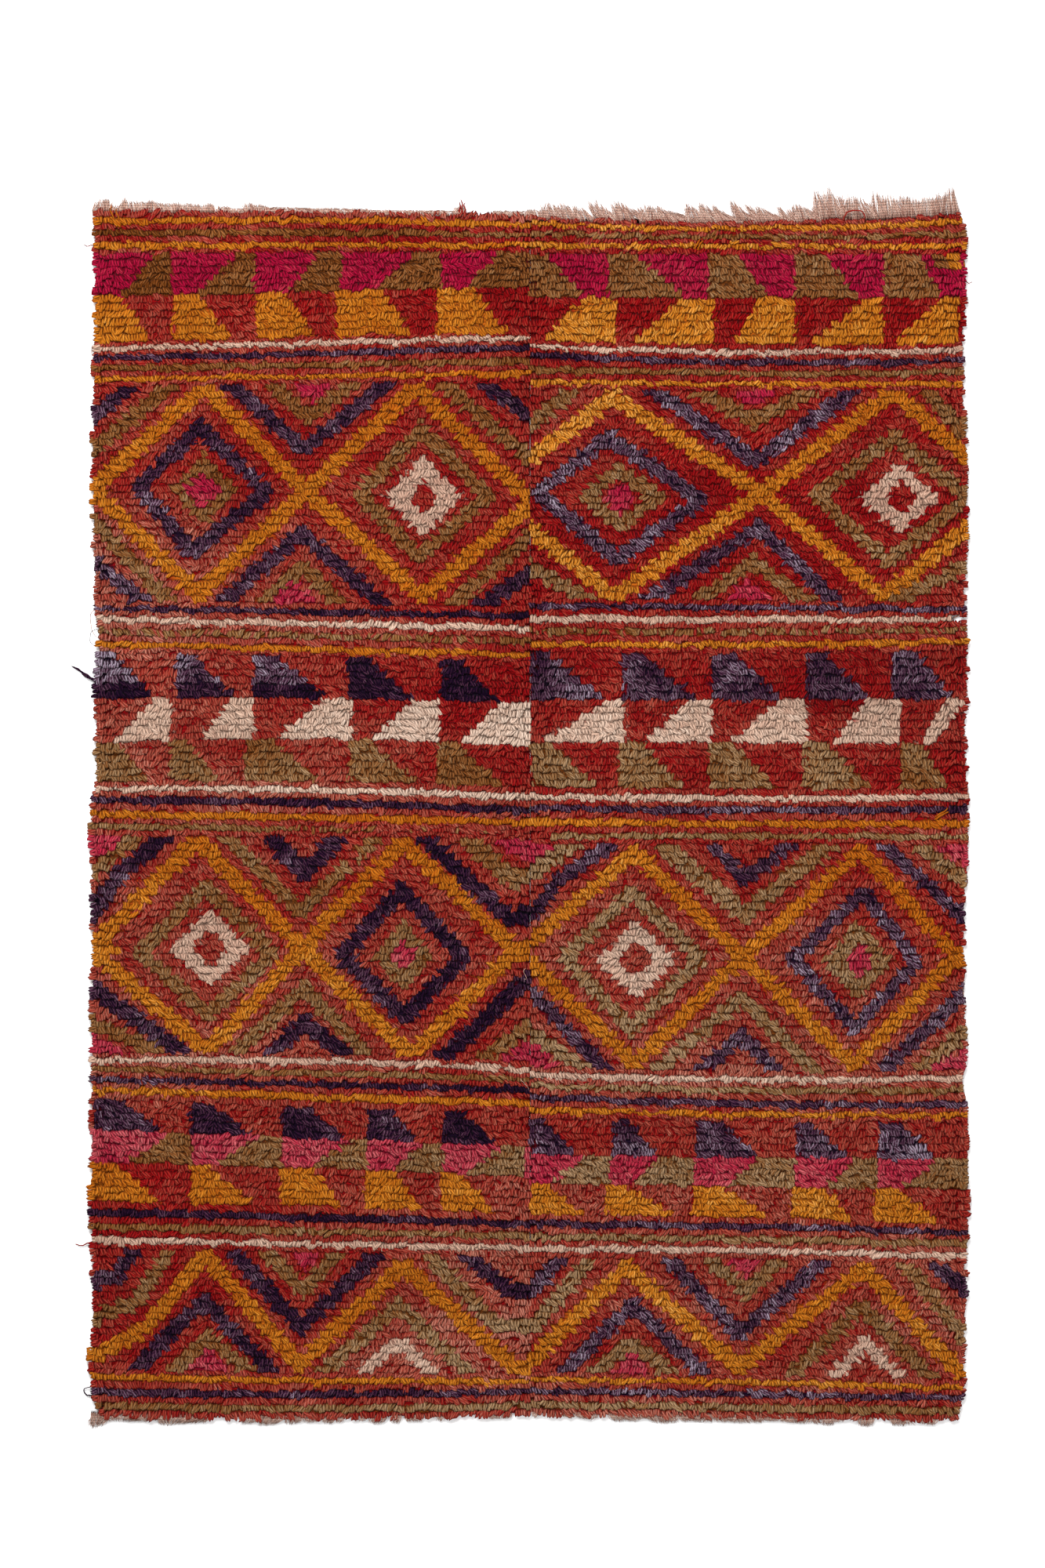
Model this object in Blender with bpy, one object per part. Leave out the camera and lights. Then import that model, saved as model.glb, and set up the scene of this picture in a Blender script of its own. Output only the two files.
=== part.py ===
# Turkish wool rug: two narrow hand-woven panels with a loop pile, laid flat and joined edge to edge.
# Metres, +Z up. X runs across the rug, +Y towards its head end, and the rug lies on z = 0.

import math

import bmesh
import bpy

# Driving dimensions.
PANEL_WIDTH = 0.600  # one loom width
PILE_LENGTH = 1.664  # from the first row of loops to the last
RUG_THICKNESS = 0.012  # ground weave and loops together
EDGE_HEIGHT = 0.005  # where the loops roll over at an edge
EDGE_ROLL = 0.011  # how far in from an edge the pile reaches its full height
PILE_WAVE = 0.0006  # how uneven the top of the pile is
PIECE_GAP = 0.0003

FRINGE_THICKNESS = 0.0025
WEB_DEPTH = 0.003  # plain-woven strip that holds the warp ends
TUFT_SPACING = 0.0135
TUFT_FOOT = 0.62  # share of the spacing that a tuft takes at the web
TUFT_TIP = 0.0022
LENGTH_SPREAD = 0.22  # how much shorter than its neighbours a tuft may be

PANEL_COLUMNS = 18
PANEL_ROWS = 58
ROLL_COLUMNS = [0.004, 0.010, 0.019]  # extra columns and rows on the rolled edge, as shares of the panel
ROLL_ROWS = [0.0015, 0.0035, 0.0065]

# Each edge as it was woven and beaten: how far along it is, then how far out of true it lies (mm, out is +).
LEFT_SIDE = [  # (metres from the head end, mm outwards)
    (0.00, -4), (0.03, 0), (0.09, -2), (0.17, -3), (0.22, 0), (0.39, 2), (0.49, 0), (0.56, -5),
    (0.61, -6), (0.66, -1), (0.75, -3), (0.80, -2), (0.84, 4), (1.00, 2), (1.17, 3), (1.33, 4),
    (1.39, 6), (1.45, 2), (1.55, 2), (1.61, 6), (1.65, -2), (1.665, -9),
]
RIGHT_SIDE = [  # (metres from the head end, mm outwards)
    (0.00, -8), (0.03, 1), (0.07, -2), (0.10, 1), (0.16, -3), (0.20, -6), (0.25, -4), (0.34, 2),
    (0.42, 1), (0.48, 2), (0.51, -3), (0.55, -2), (0.59, 2), (0.67, 2), (0.70, -2), (0.79, 1),
    (0.86, 4), (0.90, 1), (0.98, -4), (1.08, -2), (1.18, 2), (1.20, -6), (1.24, 3), (1.32, 4),
    (1.42, 3), (1.44, -4), (1.48, 1), (1.57, -2), (1.61, -4), (1.633, 1), (1.655, -8), (1.67, -18),
]
HEAD_END = [  # (metres from the joining seam, mm outwards)
    (-0.605, -4), (-0.59, -1), (-0.45, -1), (-0.33, 1), (-0.25, -2), (-0.17, -5), (-0.10, -4),
    (0.00, -7), (0.10, -8), (0.16, -11), (0.28, -16), (0.42, -15), (0.50, -11), (0.56, -7),
    (0.585, -3), (0.605, -8),
]
FOOT_END = [  # (metres from the joining seam, mm outwards)
    (-0.605, -14), (-0.59, -5), (-0.55, 0), (-0.40, 3), (-0.35, -4), (-0.30, -2), (-0.20, 2),
    (-0.05, 1), (0.00, -5), (0.10, -1), (0.30, 0), (0.45, 2), (0.55, 6), (0.58, 2), (0.605, -10),
]

# Warp ends left beyond the pile: where along the end, how long (mm), and how far they lean sideways.
FRINGES = {
    "fringe_top_left": [  # (metres from the seam, mm long, lean)
        (-0.60, 16, -0.08), (-0.57, 17, 0.08), (-0.54, 12, 0.04), (-0.50, 15, -0.12), (-0.45, 15, -0.12),
        (-0.38, 12, -0.08), (-0.30, 8, -0.16), (-0.22, 5, -0.2), (-0.12, 4, -0.08), (-0.03, 5, 0.12),
        (0.00, 9, -0.08),
    ],
    "fringe_top_right": [
        (0.00, 12, -0.16), (0.05, 17, -0.24), (0.10, 19, -0.28), (0.14, 22, -0.28), (0.18, 20, -0.24),
        (0.24, 23, -0.28), (0.30, 19, -0.24), (0.36, 21, -0.24), (0.42, 33, -0.16), (0.48, 34, -0.12),
        (0.53, 30, -0.12), (0.56, 29, -0.04), (0.58, 27, 0.0), (0.60, 17, 0.04),
    ],
    "fringe_bottom_left": [
        (-0.60, 22, -0.12), (-0.57, 18, -0.2), (-0.52, 11, -0.2), (-0.44, 10, -0.2), (-0.38, 9, -0.12),
        (-0.31, 14, -0.16), (-0.25, 9, -0.08), (-0.18, 10, -0.12), (-0.10, 9, 0.08), (-0.04, 8, 0.04),
        (0.00, 6, 0.0),
    ],
    "fringe_bottom_right": [
        (0.00, 6, 0.0), (0.08, 7, 0.08), (0.16, 13, 0.08), (0.21, 12, 0.12), (0.28, 7, 0.04),
        (0.38, 10, 0.08), (0.46, 9, 0.04), (0.52, 8, 0.04), (0.57, 8, 0.0), (0.60, 5, 0.0),
    ],
}

COLOURS = {  # base colour of each piece's cloth
    "panel_left": (0.30, 0.035, 0.028, 1.0),
    "panel_right": (0.27, 0.022, 0.030, 1.0),
    "fringe": (0.62, 0.45, 0.33, 1.0),
}


def read_table(rows, at, column=1):
    """The table's value at a place, eased between its rows."""
    if at <= rows[0][0]:
        return rows[0][column]
    for before, after in zip(rows, rows[1:]):
        if at <= after[0]:
            share = (at - before[0]) / (after[0] - before[0])
            share = share * share * (3 - 2 * share)
            return before[column] + share * (after[column] - before[column])
    return rows[-1][column]


def head_y(x):
    return PILE_LENGTH / 2 + read_table(HEAD_END, x) / 1000


def foot_y(x):
    return -PILE_LENGTH / 2 - read_table(FOOT_END, x) / 1000


def left_x(along):
    return -PANEL_WIDTH - read_table(LEFT_SIDE, along) / 1000


def right_x(along):
    return PANEL_WIDTH + read_table(RIGHT_SIDE, along) / 1000


def pile_top(x, y, edge_distance):
    """Height of the pile: rolled over at the edges, a little uneven elsewhere."""
    roll = min(1.0, max(0.0, edge_distance) / EDGE_ROLL)
    rise = math.sqrt(1 - (1 - roll) ** 2)
    wave = math.sin(9.1 * x + 2.3 * y + 0.4) + math.sin(5.3 * y - 7.7 * x + 1.9)
    full = RUG_THICKNESS - PILE_WAVE + 0.5 * PILE_WAVE * wave
    return EDGE_HEIGHT + (full - EDGE_HEIGHT) * rise


def spread_out(count, near_edges):
    """Shares from 0 to 1 with extra steps close to both ends, for the rolled edge."""
    middle = [near_edges[-1] + i / count * (1 - 2 * near_edges[-1]) for i in range(1, count)]
    return [0.0] + near_edges + middle + [1 - share for share in reversed(near_edges)] + [1.0]


def cloth_material(name, colour):
    material = bpy.data.materials.new(name)
    material.use_nodes = True
    shader = material.node_tree.nodes["Principled BSDF"]
    shader.inputs["Base Color"].default_value = colour
    shader.inputs["Roughness"].default_value = 0.9
    shader.inputs["Metallic"].default_value = 0.0
    return material


def add_object(name, mesh_builder, material):
    mesh = bpy.data.meshes.new(name)
    mesh_builder.normal_update()
    mesh_builder.to_mesh(mesh)
    mesh_builder.free()
    mesh.materials.append(material)
    piece = bpy.data.objects.new(name, mesh)
    bpy.context.scene.collection.objects.link(piece)
    return piece


def end_line(side, along_share):
    """Points along one end of a panel, from the seam outwards, at the panel's own columns."""
    along = along_share * PILE_LENGTH
    outer = left_x(along) if side < 0 else right_x(along)
    inner = side * PIECE_GAP / 2
    columns = [inner + share * (outer - inner) for share in spread_out(PANEL_COLUMNS, ROLL_COLUMNS)]
    return [(x, head_y(x) + along_share * (foot_y(x) - head_y(x))) for x in columns]


def make_panel(name, side):
    """One loom width of pile cloth: side is -1 left of the seam and 1 right of it."""
    builder = bmesh.new()
    top_rows = []
    for along_share in spread_out(PANEL_ROWS, ROLL_ROWS):
        line = end_line(side, along_share)
        from_ends = min(along_share, 1 - along_share) * PILE_LENGTH
        row = []
        for x, y in line:
            from_sides = min(abs(x - line[0][0]), abs(x - line[-1][0]))
            row.append(builder.verts.new((x, y, pile_top(x, y, min(from_sides, from_ends)))))
        top_rows.append(row)
    for row, next_row in zip(top_rows, top_rows[1:]):
        for a, b, c, d in zip(row, row[1:], next_row[1:], next_row):
            builder.faces.new((a, b, c, d))
    rim = top_rows[0] + [row[-1] for row in top_rows[1:-1]]
    rim += list(reversed(top_rows[-1])) + [row[0] for row in reversed(top_rows[1:-1])]
    below = [builder.verts.new((vert.co.x, vert.co.y, 0.0)) for vert in rim]
    for i, j in zip(range(len(rim)), list(range(1, len(rim))) + [0]):
        builder.faces.new((rim[j], rim[i], below[i], below[j]))
    builder.faces.new(below)
    bmesh.ops.recalc_face_normals(builder, faces=builder.faces[:])
    panel = add_object(name, builder, cloth_material(name, COLOURS[name]))
    panel.data.shade_smooth()
    panel.data.set_sharp_from_angle(angle=math.radians(50))
    return panel


def make_fringe(name, rows, side, at_head):
    """Warp ends as one comb beyond a panel's end, on the same columns, so that its web fits the panel."""
    out = 1 if at_head else -1
    line = end_line(side, 0.0 if at_head else 1.0)
    builder = bmesh.new()

    def flat_vert(x, y, beyond):
        return builder.verts.new((x, y + out * beyond, 0.0))

    inner = flat_vert(*line[0], PIECE_GAP)
    outer = flat_vert(*line[0], PIECE_GAP + WEB_DEPTH)
    tuft_count = 0
    for (x0, y0), (x1, y1) in zip(line, line[1:]):
        tufts = round(abs(x1 - x0) / TUFT_SPACING)
        feet = []
        for i in range(tufts):
            length = 0.001 * read_table(rows, x0 + (i + 0.5) / tufts * (x1 - x0))
            length *= 1 - LENGTH_SPREAD + LENGTH_SPREAD * math.cos(2.4 * tuft_count)
            lean = length * read_table(rows, x0, column=2)
            pair = []
            for edge in (-1, 1):
                share = (i + 0.5 + edge * TUFT_FOOT / 2) / tufts
                pair.append(flat_vert(x0 + share * (x1 - x0), y0 + share * (y1 - y0), PIECE_GAP + WEB_DEPTH))
            centre = (pair[0].co + pair[1].co) / 2
            reach = max(length - WEB_DEPTH, WEB_DEPTH)
            tips = [flat_vert(centre.x + lean + edge * side * TUFT_TIP / 2, centre.y, reach) for edge in (-1, 1)]
            builder.faces.new((pair[0], tips[0], tips[1], pair[1]))
            feet += pair
            tuft_count += 1
        next_inner, next_outer = flat_vert(x1, y1, PIECE_GAP), flat_vert(x1, y1, PIECE_GAP + WEB_DEPTH)
        builder.faces.new([inner, outer] + feet + [next_outer, next_inner])
        inner, outer = next_inner, next_outer
    bmesh.ops.recalc_face_normals(builder, faces=builder.faces[:])
    lifted = bmesh.ops.extrude_face_region(builder, geom=builder.faces[:], use_keep_orig=True)["geom"]
    lifted = [item for item in lifted if isinstance(item, bmesh.types.BMVert)]
    bmesh.ops.translate(builder, verts=lifted, vec=(0.0, 0.0, FRINGE_THICKNESS))
    bmesh.ops.recalc_face_normals(builder, faces=builder.faces[:])
    return add_object(name, builder, cloth_material(name, COLOURS["fringe"]))


def centre_on_box(pieces):
    """Puts the middle of the whole rug's box at x = y = 0."""
    corners = [vert.co for piece in pieces for vert in piece.data.vertices]
    middle_x = (min(co.x for co in corners) + max(co.x for co in corners)) / 2
    middle_y = (min(co.y for co in corners) + max(co.y for co in corners)) / 2
    for piece in pieces:
        for vert in piece.data.vertices:
            vert.co.x -= middle_x
            vert.co.y -= middle_y


for old in list(bpy.data.objects):
    bpy.data.objects.remove(old, do_unlink=True)

rug = [make_panel("panel_left", -1), make_panel("panel_right", 1)]
for fringe_name, fringe_rows in FRINGES.items():
    rug.append(make_fringe(fringe_name, fringe_rows, -1 if "left" in fringe_name else 1, "top" in fringe_name))
centre_on_box(rug)
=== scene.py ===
import math

import bpy
import numpy as np
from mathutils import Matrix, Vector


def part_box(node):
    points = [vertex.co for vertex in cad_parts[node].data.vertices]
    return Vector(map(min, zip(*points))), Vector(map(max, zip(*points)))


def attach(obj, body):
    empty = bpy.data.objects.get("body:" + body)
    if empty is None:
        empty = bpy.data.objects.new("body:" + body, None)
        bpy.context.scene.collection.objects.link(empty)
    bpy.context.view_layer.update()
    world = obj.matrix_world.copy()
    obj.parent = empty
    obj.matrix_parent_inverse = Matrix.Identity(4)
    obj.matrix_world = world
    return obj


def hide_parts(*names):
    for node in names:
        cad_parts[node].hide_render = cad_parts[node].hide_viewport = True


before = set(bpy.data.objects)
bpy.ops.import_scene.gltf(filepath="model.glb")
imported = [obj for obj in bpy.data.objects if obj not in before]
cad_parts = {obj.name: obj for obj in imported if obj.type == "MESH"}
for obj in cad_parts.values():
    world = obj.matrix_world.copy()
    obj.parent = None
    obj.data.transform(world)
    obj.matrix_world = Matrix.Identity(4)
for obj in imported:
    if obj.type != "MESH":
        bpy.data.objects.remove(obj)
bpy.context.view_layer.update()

# Turkish rug: two hand-woven panels with a loop pile, laid side by side and seen from straight above.
# The weave is drawn in millimetres, across from the joining seam (right is +) and down from the head end.
# toFrame turns that into the frame's metres.

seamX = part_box("panel_left")[1].x
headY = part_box("panel_left")[1].y - 0.001
sides = {"left": -1, "right": 1}


def toFrame(across, down, height):
    return np.stack([seamX + across / 1000, headY - down / 1000, height / 1000], axis=-1)


def newMaterial(name, finish):
    material = bpy.data.materials.new(name)
    material.use_nodes = True
    shader = material.node_tree.nodes["Principled BSDF"]
    for socket, value in finish.items():
        shader.inputs[socket].default_value = value
    return material, material.node_tree, shader


# Camera, floor and light.

studio = {
    "cameraHeight": 7.0,
    "viewLength": 2.16,        # what the long side of the picture takes in
    "viewCentre": (-10.3, 791.6),  # across and down
    "floorSize": 30.0,
    "floorFinish": {"Base Color": (0.93, 0.93, 0.93, 1), "Roughness": 0.9},
    "skyColour": (1.0, 1.0, 1.0, 1),
    "skyStrength": 0.62,
    "keyPower": 330,
    "keySize": 2.4,
    "keyPlace": (-0.9, 2.6, 4.2),
    "fillPower": 90,
    "fillSize": 3.0,
    "fillPlace": (1.8, -2.0, 4.6),
}


def makeStudio(s):
    scene = bpy.context.scene
    scene.view_settings.view_transform = "Standard"
    scene.view_settings.look = "None"
    centre = toFrame(np.float64(s["viewCentre"][0]), np.float64(s["viewCentre"][1]), np.float64(0))

    lensData = bpy.data.cameras.new("camera")
    lensData.lens = lensData.sensor_width * s["cameraHeight"] / s["viewLength"]
    lensData.clip_end = 100
    eye = bpy.data.objects.new("camera", lensData)
    eye.location = (centre[0], centre[1], s["cameraHeight"] + 0.01)
    scene.collection.objects.link(eye)
    scene.camera = eye

    half = s["floorSize"] / 2
    corners = [(-half, -half, 0), (half, -half, 0), (half, half, 0), (-half, half, 0)]
    floorMesh = bpy.data.meshes.new("floor")
    floorMesh.from_pydata(corners, [], [(0, 1, 2, 3)])
    floor = bpy.data.objects.new("floor", floorMesh)
    floorMesh.materials.append(newMaterial("paleFloor", s["floorFinish"])[0])
    scene.collection.objects.link(floor)

    for name in ("key", "fill"):
        lampData = bpy.data.lights.new(name, "AREA")
        lampData.energy = s[name + "Power"]
        lampData.size = s[name + "Size"]
        lamp = bpy.data.objects.new(name, lampData)
        lamp.location = s[name + "Place"]
        lamp.rotation_euler = (-lamp.location).to_track_quat("-Z", "Y").to_euler()
        scene.collection.objects.link(lamp)

    world = bpy.data.worlds.new("sky")
    world.use_nodes = True
    world.node_tree.nodes["Background"].inputs["Color"].default_value = s["skyColour"]
    world.node_tree.nodes["Background"].inputs["Strength"].default_value = s["skyStrength"]
    scene.world = world


makeStudio(studio)
print("studio ready")


# Where each row of loops lies, in mm down from the head end, at the left, middle and right of each panel.
# The weaver beat the rows unevenly, so the stripes drift. Halves are the lines between rows.
rowLines = [  # row, left panel, right panel
    (-0.5, (0, 2, 6), (10, 17, 5)),
    (1, (16, 14, 21), (18, 25, 15)),
    (3, (32, 30, 35), (32, 37, 33)),
    (5, (49, 49, 48), (49, 50, 50)),
    (6.5, (59, 58, 57), (60, 60, 60)),
    (12.5, (118, 112, 104), (119, 121, 120)),
    (18.5, (183, 175, 169), (181, 184, 183)),
    (20, (192, 183, 175), (186, 196, 192)),
    (22, (204, 197, 189), (198, 209, 207)),
    (24, (218, 213, 207), (218, 225, 222)),
    (26, (234, 230, 226), (239, 240, 241)),
    (27.5, (243, 239, 238), (247, 248, 248)),
    (43, (382, 388, 399), (390, 391, 394)),
    (58.5, (539, 542, 545), (535, 538, 540)),
    (60, (548, 553, 560), (544, 546, 551)),
    (62, (563, 570, 577), (563, 564, 563)),
    (64, (580, 586, 593), (580, 581, 577)),
    (66, (598, 606, 615), (598, 599, 595)),
    (67.5, (608, 615, 621), (608, 610, 606)),
    (73.5, (673, 672, 679), (674, 674, 672)),
    (79.5, (735, 728, 738), (733, 733, 735)),
    (85.5, (789, 787, 795), (795, 797, 798)),
    (87, (799, 798, 810), (808, 811, 808)),
    (89, (811, 816, 827), (823, 826, 824)),
    (91, (832, 837, 843), (842, 846, 846)),
    (93, (849, 853, 859), (863, 863, 864)),
    (94.5, (861, 863, 867), (873, 873, 875)),
    (110, (1020, 1020, 1022), (1021, 1029, 1030)),
    (125.5, (1162, 1163, 1173), (1180, 1186, 1184)),
    (127, (1171, 1172, 1184), (1192, 1198, 1197)),
    (129, (1184, 1189, 1198), (1206, 1212, 1211)),
    (131, (1198, 1204, 1212), (1220, 1232, 1232)),
    (133, (1212, 1220, 1231), (1240, 1246, 1247)),
    (134.5, (1224, 1237, 1243), (1251, 1256, 1257)),
    (139.5, (1267, 1278, 1290), (1300, 1305, 1307)),
    (144.5, (1312, 1319, 1332), (1340, 1345, 1349)),
    (149.5, (1365, 1373, 1381), (1385, 1388, 1399)),
    (151, (1381, 1388, 1398), (1396, 1400, 1409)),
    (153, (1401, 1407, 1414), (1415, 1418, 1423)),
    (155, (1419, 1425, 1430), (1431, 1434, 1442)),
    (156.5, (1431, 1435, 1443), (1443, 1445, 1452)),
    (173.5, (1597, 1602, 1604), (1602, 1604, 1609)),
    (175, (1606, 1612, 1614), (1610, 1615, 1623)),
    (177, (1628, 1631, 1626), (1626, 1631, 1636)),
    (179, (1648, 1651, 1648), (1646, 1649, 1655)),
    (180.5, (1662, 1666, 1661), (1660, 1665, 1670)),
]
rowKeys = [line[0] for line in rowLines]
panelWidth = 600


def softNoise(x, y, size, seed):
    # smooth random hills from -1 to 1, about one size apart
    grid = np.random.default_rng(seed).uniform(-1, 1, (257, 257))
    gx, gy = x / size + 40.5, y / size + 40.5
    ix, iy = np.floor(gx).astype(int), np.floor(gy).astype(int)
    fx, fy = gx - ix, gy - iy
    fx, fy = fx * fx * (3 - 2 * fx), fy * fy * (3 - 2 * fy)
    low = grid[ix % 257, iy % 257] * (1 - fx) + grid[(ix + 1) % 257, iy % 257] * fx
    high = grid[ix % 257, (iy + 1) % 257] * (1 - fx) + grid[(ix + 1) % 257, (iy + 1) % 257] * fx
    return low * (1 - fy) + high * fy


def rowDown(side, row, across):
    # how far down a row lies at a place across it, on a parabola through its three places
    column = 1 if side == "left" else 2
    start, middle, end = (
        np.interp(row, rowKeys, [line[column][place] for line in rowLines]) for place in range(3)
    )
    share = across / panelWidth + (1 if side == "left" else 0)
    return (
        start * (1 - share) * (1 - 2 * share)
        + middle * 4 * share * (1 - share)
        + end * share * (2 * share - 1)
    )


def outlineOf(side):
    # the panel's own outline, from the CAD solid's edges on the floor: its left and right at each mm down
    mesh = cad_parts["panel_" + side].data
    places = np.array([v.co for v in mesh.vertices])
    edges = np.array([e.vertices for e in mesh.edges])
    edges = edges[(places[edges][:, :, 2] < 1e-5).all(axis=1)]
    ends = (places[edges][:, :, :2] - (seamX, headY)) * (1000, -1000)
    downs = np.arange(-20, 1700)
    leftmost, rightmost = np.full(len(downs), 1e9), np.full(len(downs), -1e9)
    for (x0, y0), (x1, y1) in ends:
        inside = (downs >= min(y0, y1)) & (downs <= max(y0, y1)) & (abs(y1 - y0) > 1e-6)
        crossing = x0 + (downs[inside] - y0) / (y1 - y0) * (x1 - x0)
        leftmost[inside] = np.minimum(leftmost[inside], crossing)
        rightmost[inside] = np.maximum(rightmost[inside], crossing)
    real = leftmost < 1e8
    return downs[real], leftmost[real], rightmost[real]


outlines = {side: outlineOf(side) for side in sides}
edgeSpan = (12, 1650)   # how far down the outer edges run, without the corners


def edgesAt(side, down):
    downs, leftmost, rightmost = outlines[side]
    return np.interp(down, downs, leftmost), np.interp(down, downs, rightmost)


def insetEdges(side, down, outer, inner):
    start, end = edgesAt(side, np.clip(down, *edgeSpan))
    return (start + outer, end - inner) if side == "left" else (start + inner, end - outer)


yarns = ["red", "gold", "khaki", "indigo", "cream", "pink"]

# Single rows of another yarn. Every row that isn't named is red.
stripeRows = {
    "gold": [1, 5, 26, 66, 91, 133, 175],
    "khaki": [3, 24, 64, 93, 129, 153, 179],
    "indigo": [22, 60, 89, 131, 151, 177],
    "cream": [20, 62, 87, 127, 155],
}
stripeBreaks = [  # side, row, from and to across, share of loops that turn red
    ("left", 93, -212, 10, 0.95),
    ("left", 93, -330, -212, 0.45),
    ("right", 93, -10, 30, 1.0),
    ("left", 64, -600, 10, 0.3),
    ("right", 64, -10, 610, 0.25),
]

# Bands of sawteeth. In each panel the teeth grow to one side of their upright edges. A tooth is the place
# of its upright edge, and then its width at the top row and at the base row.
sawBands = [
    {"rows": (7, 12), "tooth": "khaki", "field": "pink",
     "left": ("left", [(-495, 25, 65), (-379, 26, 76), (-261, 35, 69), (-123, 39, 87), (-1, 43, 83)]),
     "right": ("right", [(1, 25, 70), (108, 43, 102), (246, 42, 81), (365, 45, 86), (488, 50, 79)])},
    {"rows": (13, 18), "tooth": "gold", "field": "red",
     "left": ("right", [(-600, 39, 76), (-492, 38, 79), (-377, 46, 77), (-266, 64, 101), (-127, 51, 92)]),
     "right": ("left", [(117, 48, 95), (253, 48, 109), (365, 50, 83), (486, 28, 97), (592, 29, 84)])},
    {"rows": (68, 73), "tooth": "indigo", "field": "red",
     "left": ("right", [(-600, 30, 81), (-487, 27, 77), (-382, 37, 99), (-251, 32, 87), (-123, 32, 77)]),
     "right": ("right", [(1, 27, 99), (127, 33, 99), (251, 37, 93), (381, 29, 85), (500, 37, 80)])},
    {"rows": (74, 79), "tooth": "cream", "field": "red",
     "left": ("left", [(-496, 22, 77), (-382, 32, 69), (-247, 42, 100), (-125, 39, 90), (1, 45, 94)]),
     "right": ("left", [(128, 26, 105), (250, 34, 90), (381, 39, 103), (511, 47, 92)])},
    {"rows": (80, 85), "tooth": "khaki", "field": "red",
     "left": ("right", [(-599, 33, 69), (-495, 24, 65), (-392, 42, 100), (-249, 31, 91), (-127, 30, 87)]),
     "right": ("right", [(2, 31, 90), (123, 36, 86), (247, 37, 89), (377, 38, 91), (510, 33, 66)])},
    {"rows": (135, 139), "tooth": "indigo", "field": "red",
     "left": ("right", [(-600, 43, 94), (-467, 35, 82), (-341, 42, 84), (-225, 39, 69), (-119, 30, 71)]),
     "right": ("right", [(1, 20, 58), (114, 23, 60), (229, 40, 84), (367, 23, 70), (481, 33, 76)])},
    {"rows": (140, 144), "tooth": "khaki", "field": "pink",
     "left": ("left", [(-467, 32, 85), (-342, 30, 90), (-225, 24, 73), (-119, 28, 69), (-9, 35, 75)]),
     "right": ("left", [(110, 35, 78), (225, 50, 81), (364, 53, 88), (478, 33, 68), (602, 45, 89)])},
    {"rows": (145, 149), "tooth": "gold", "field": "red",
     "left": ("right", [(-603, 37, 92), (-467, 27, 82), (-344, 49, 81), (-227, 43, 73), (-123, 31, 71)]),
     "right": ("right", [(-1, 28, 74), (106, 29, 91), (225, 45, 97), (359, 52, 80), (474, 39, 87)])},
]

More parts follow.
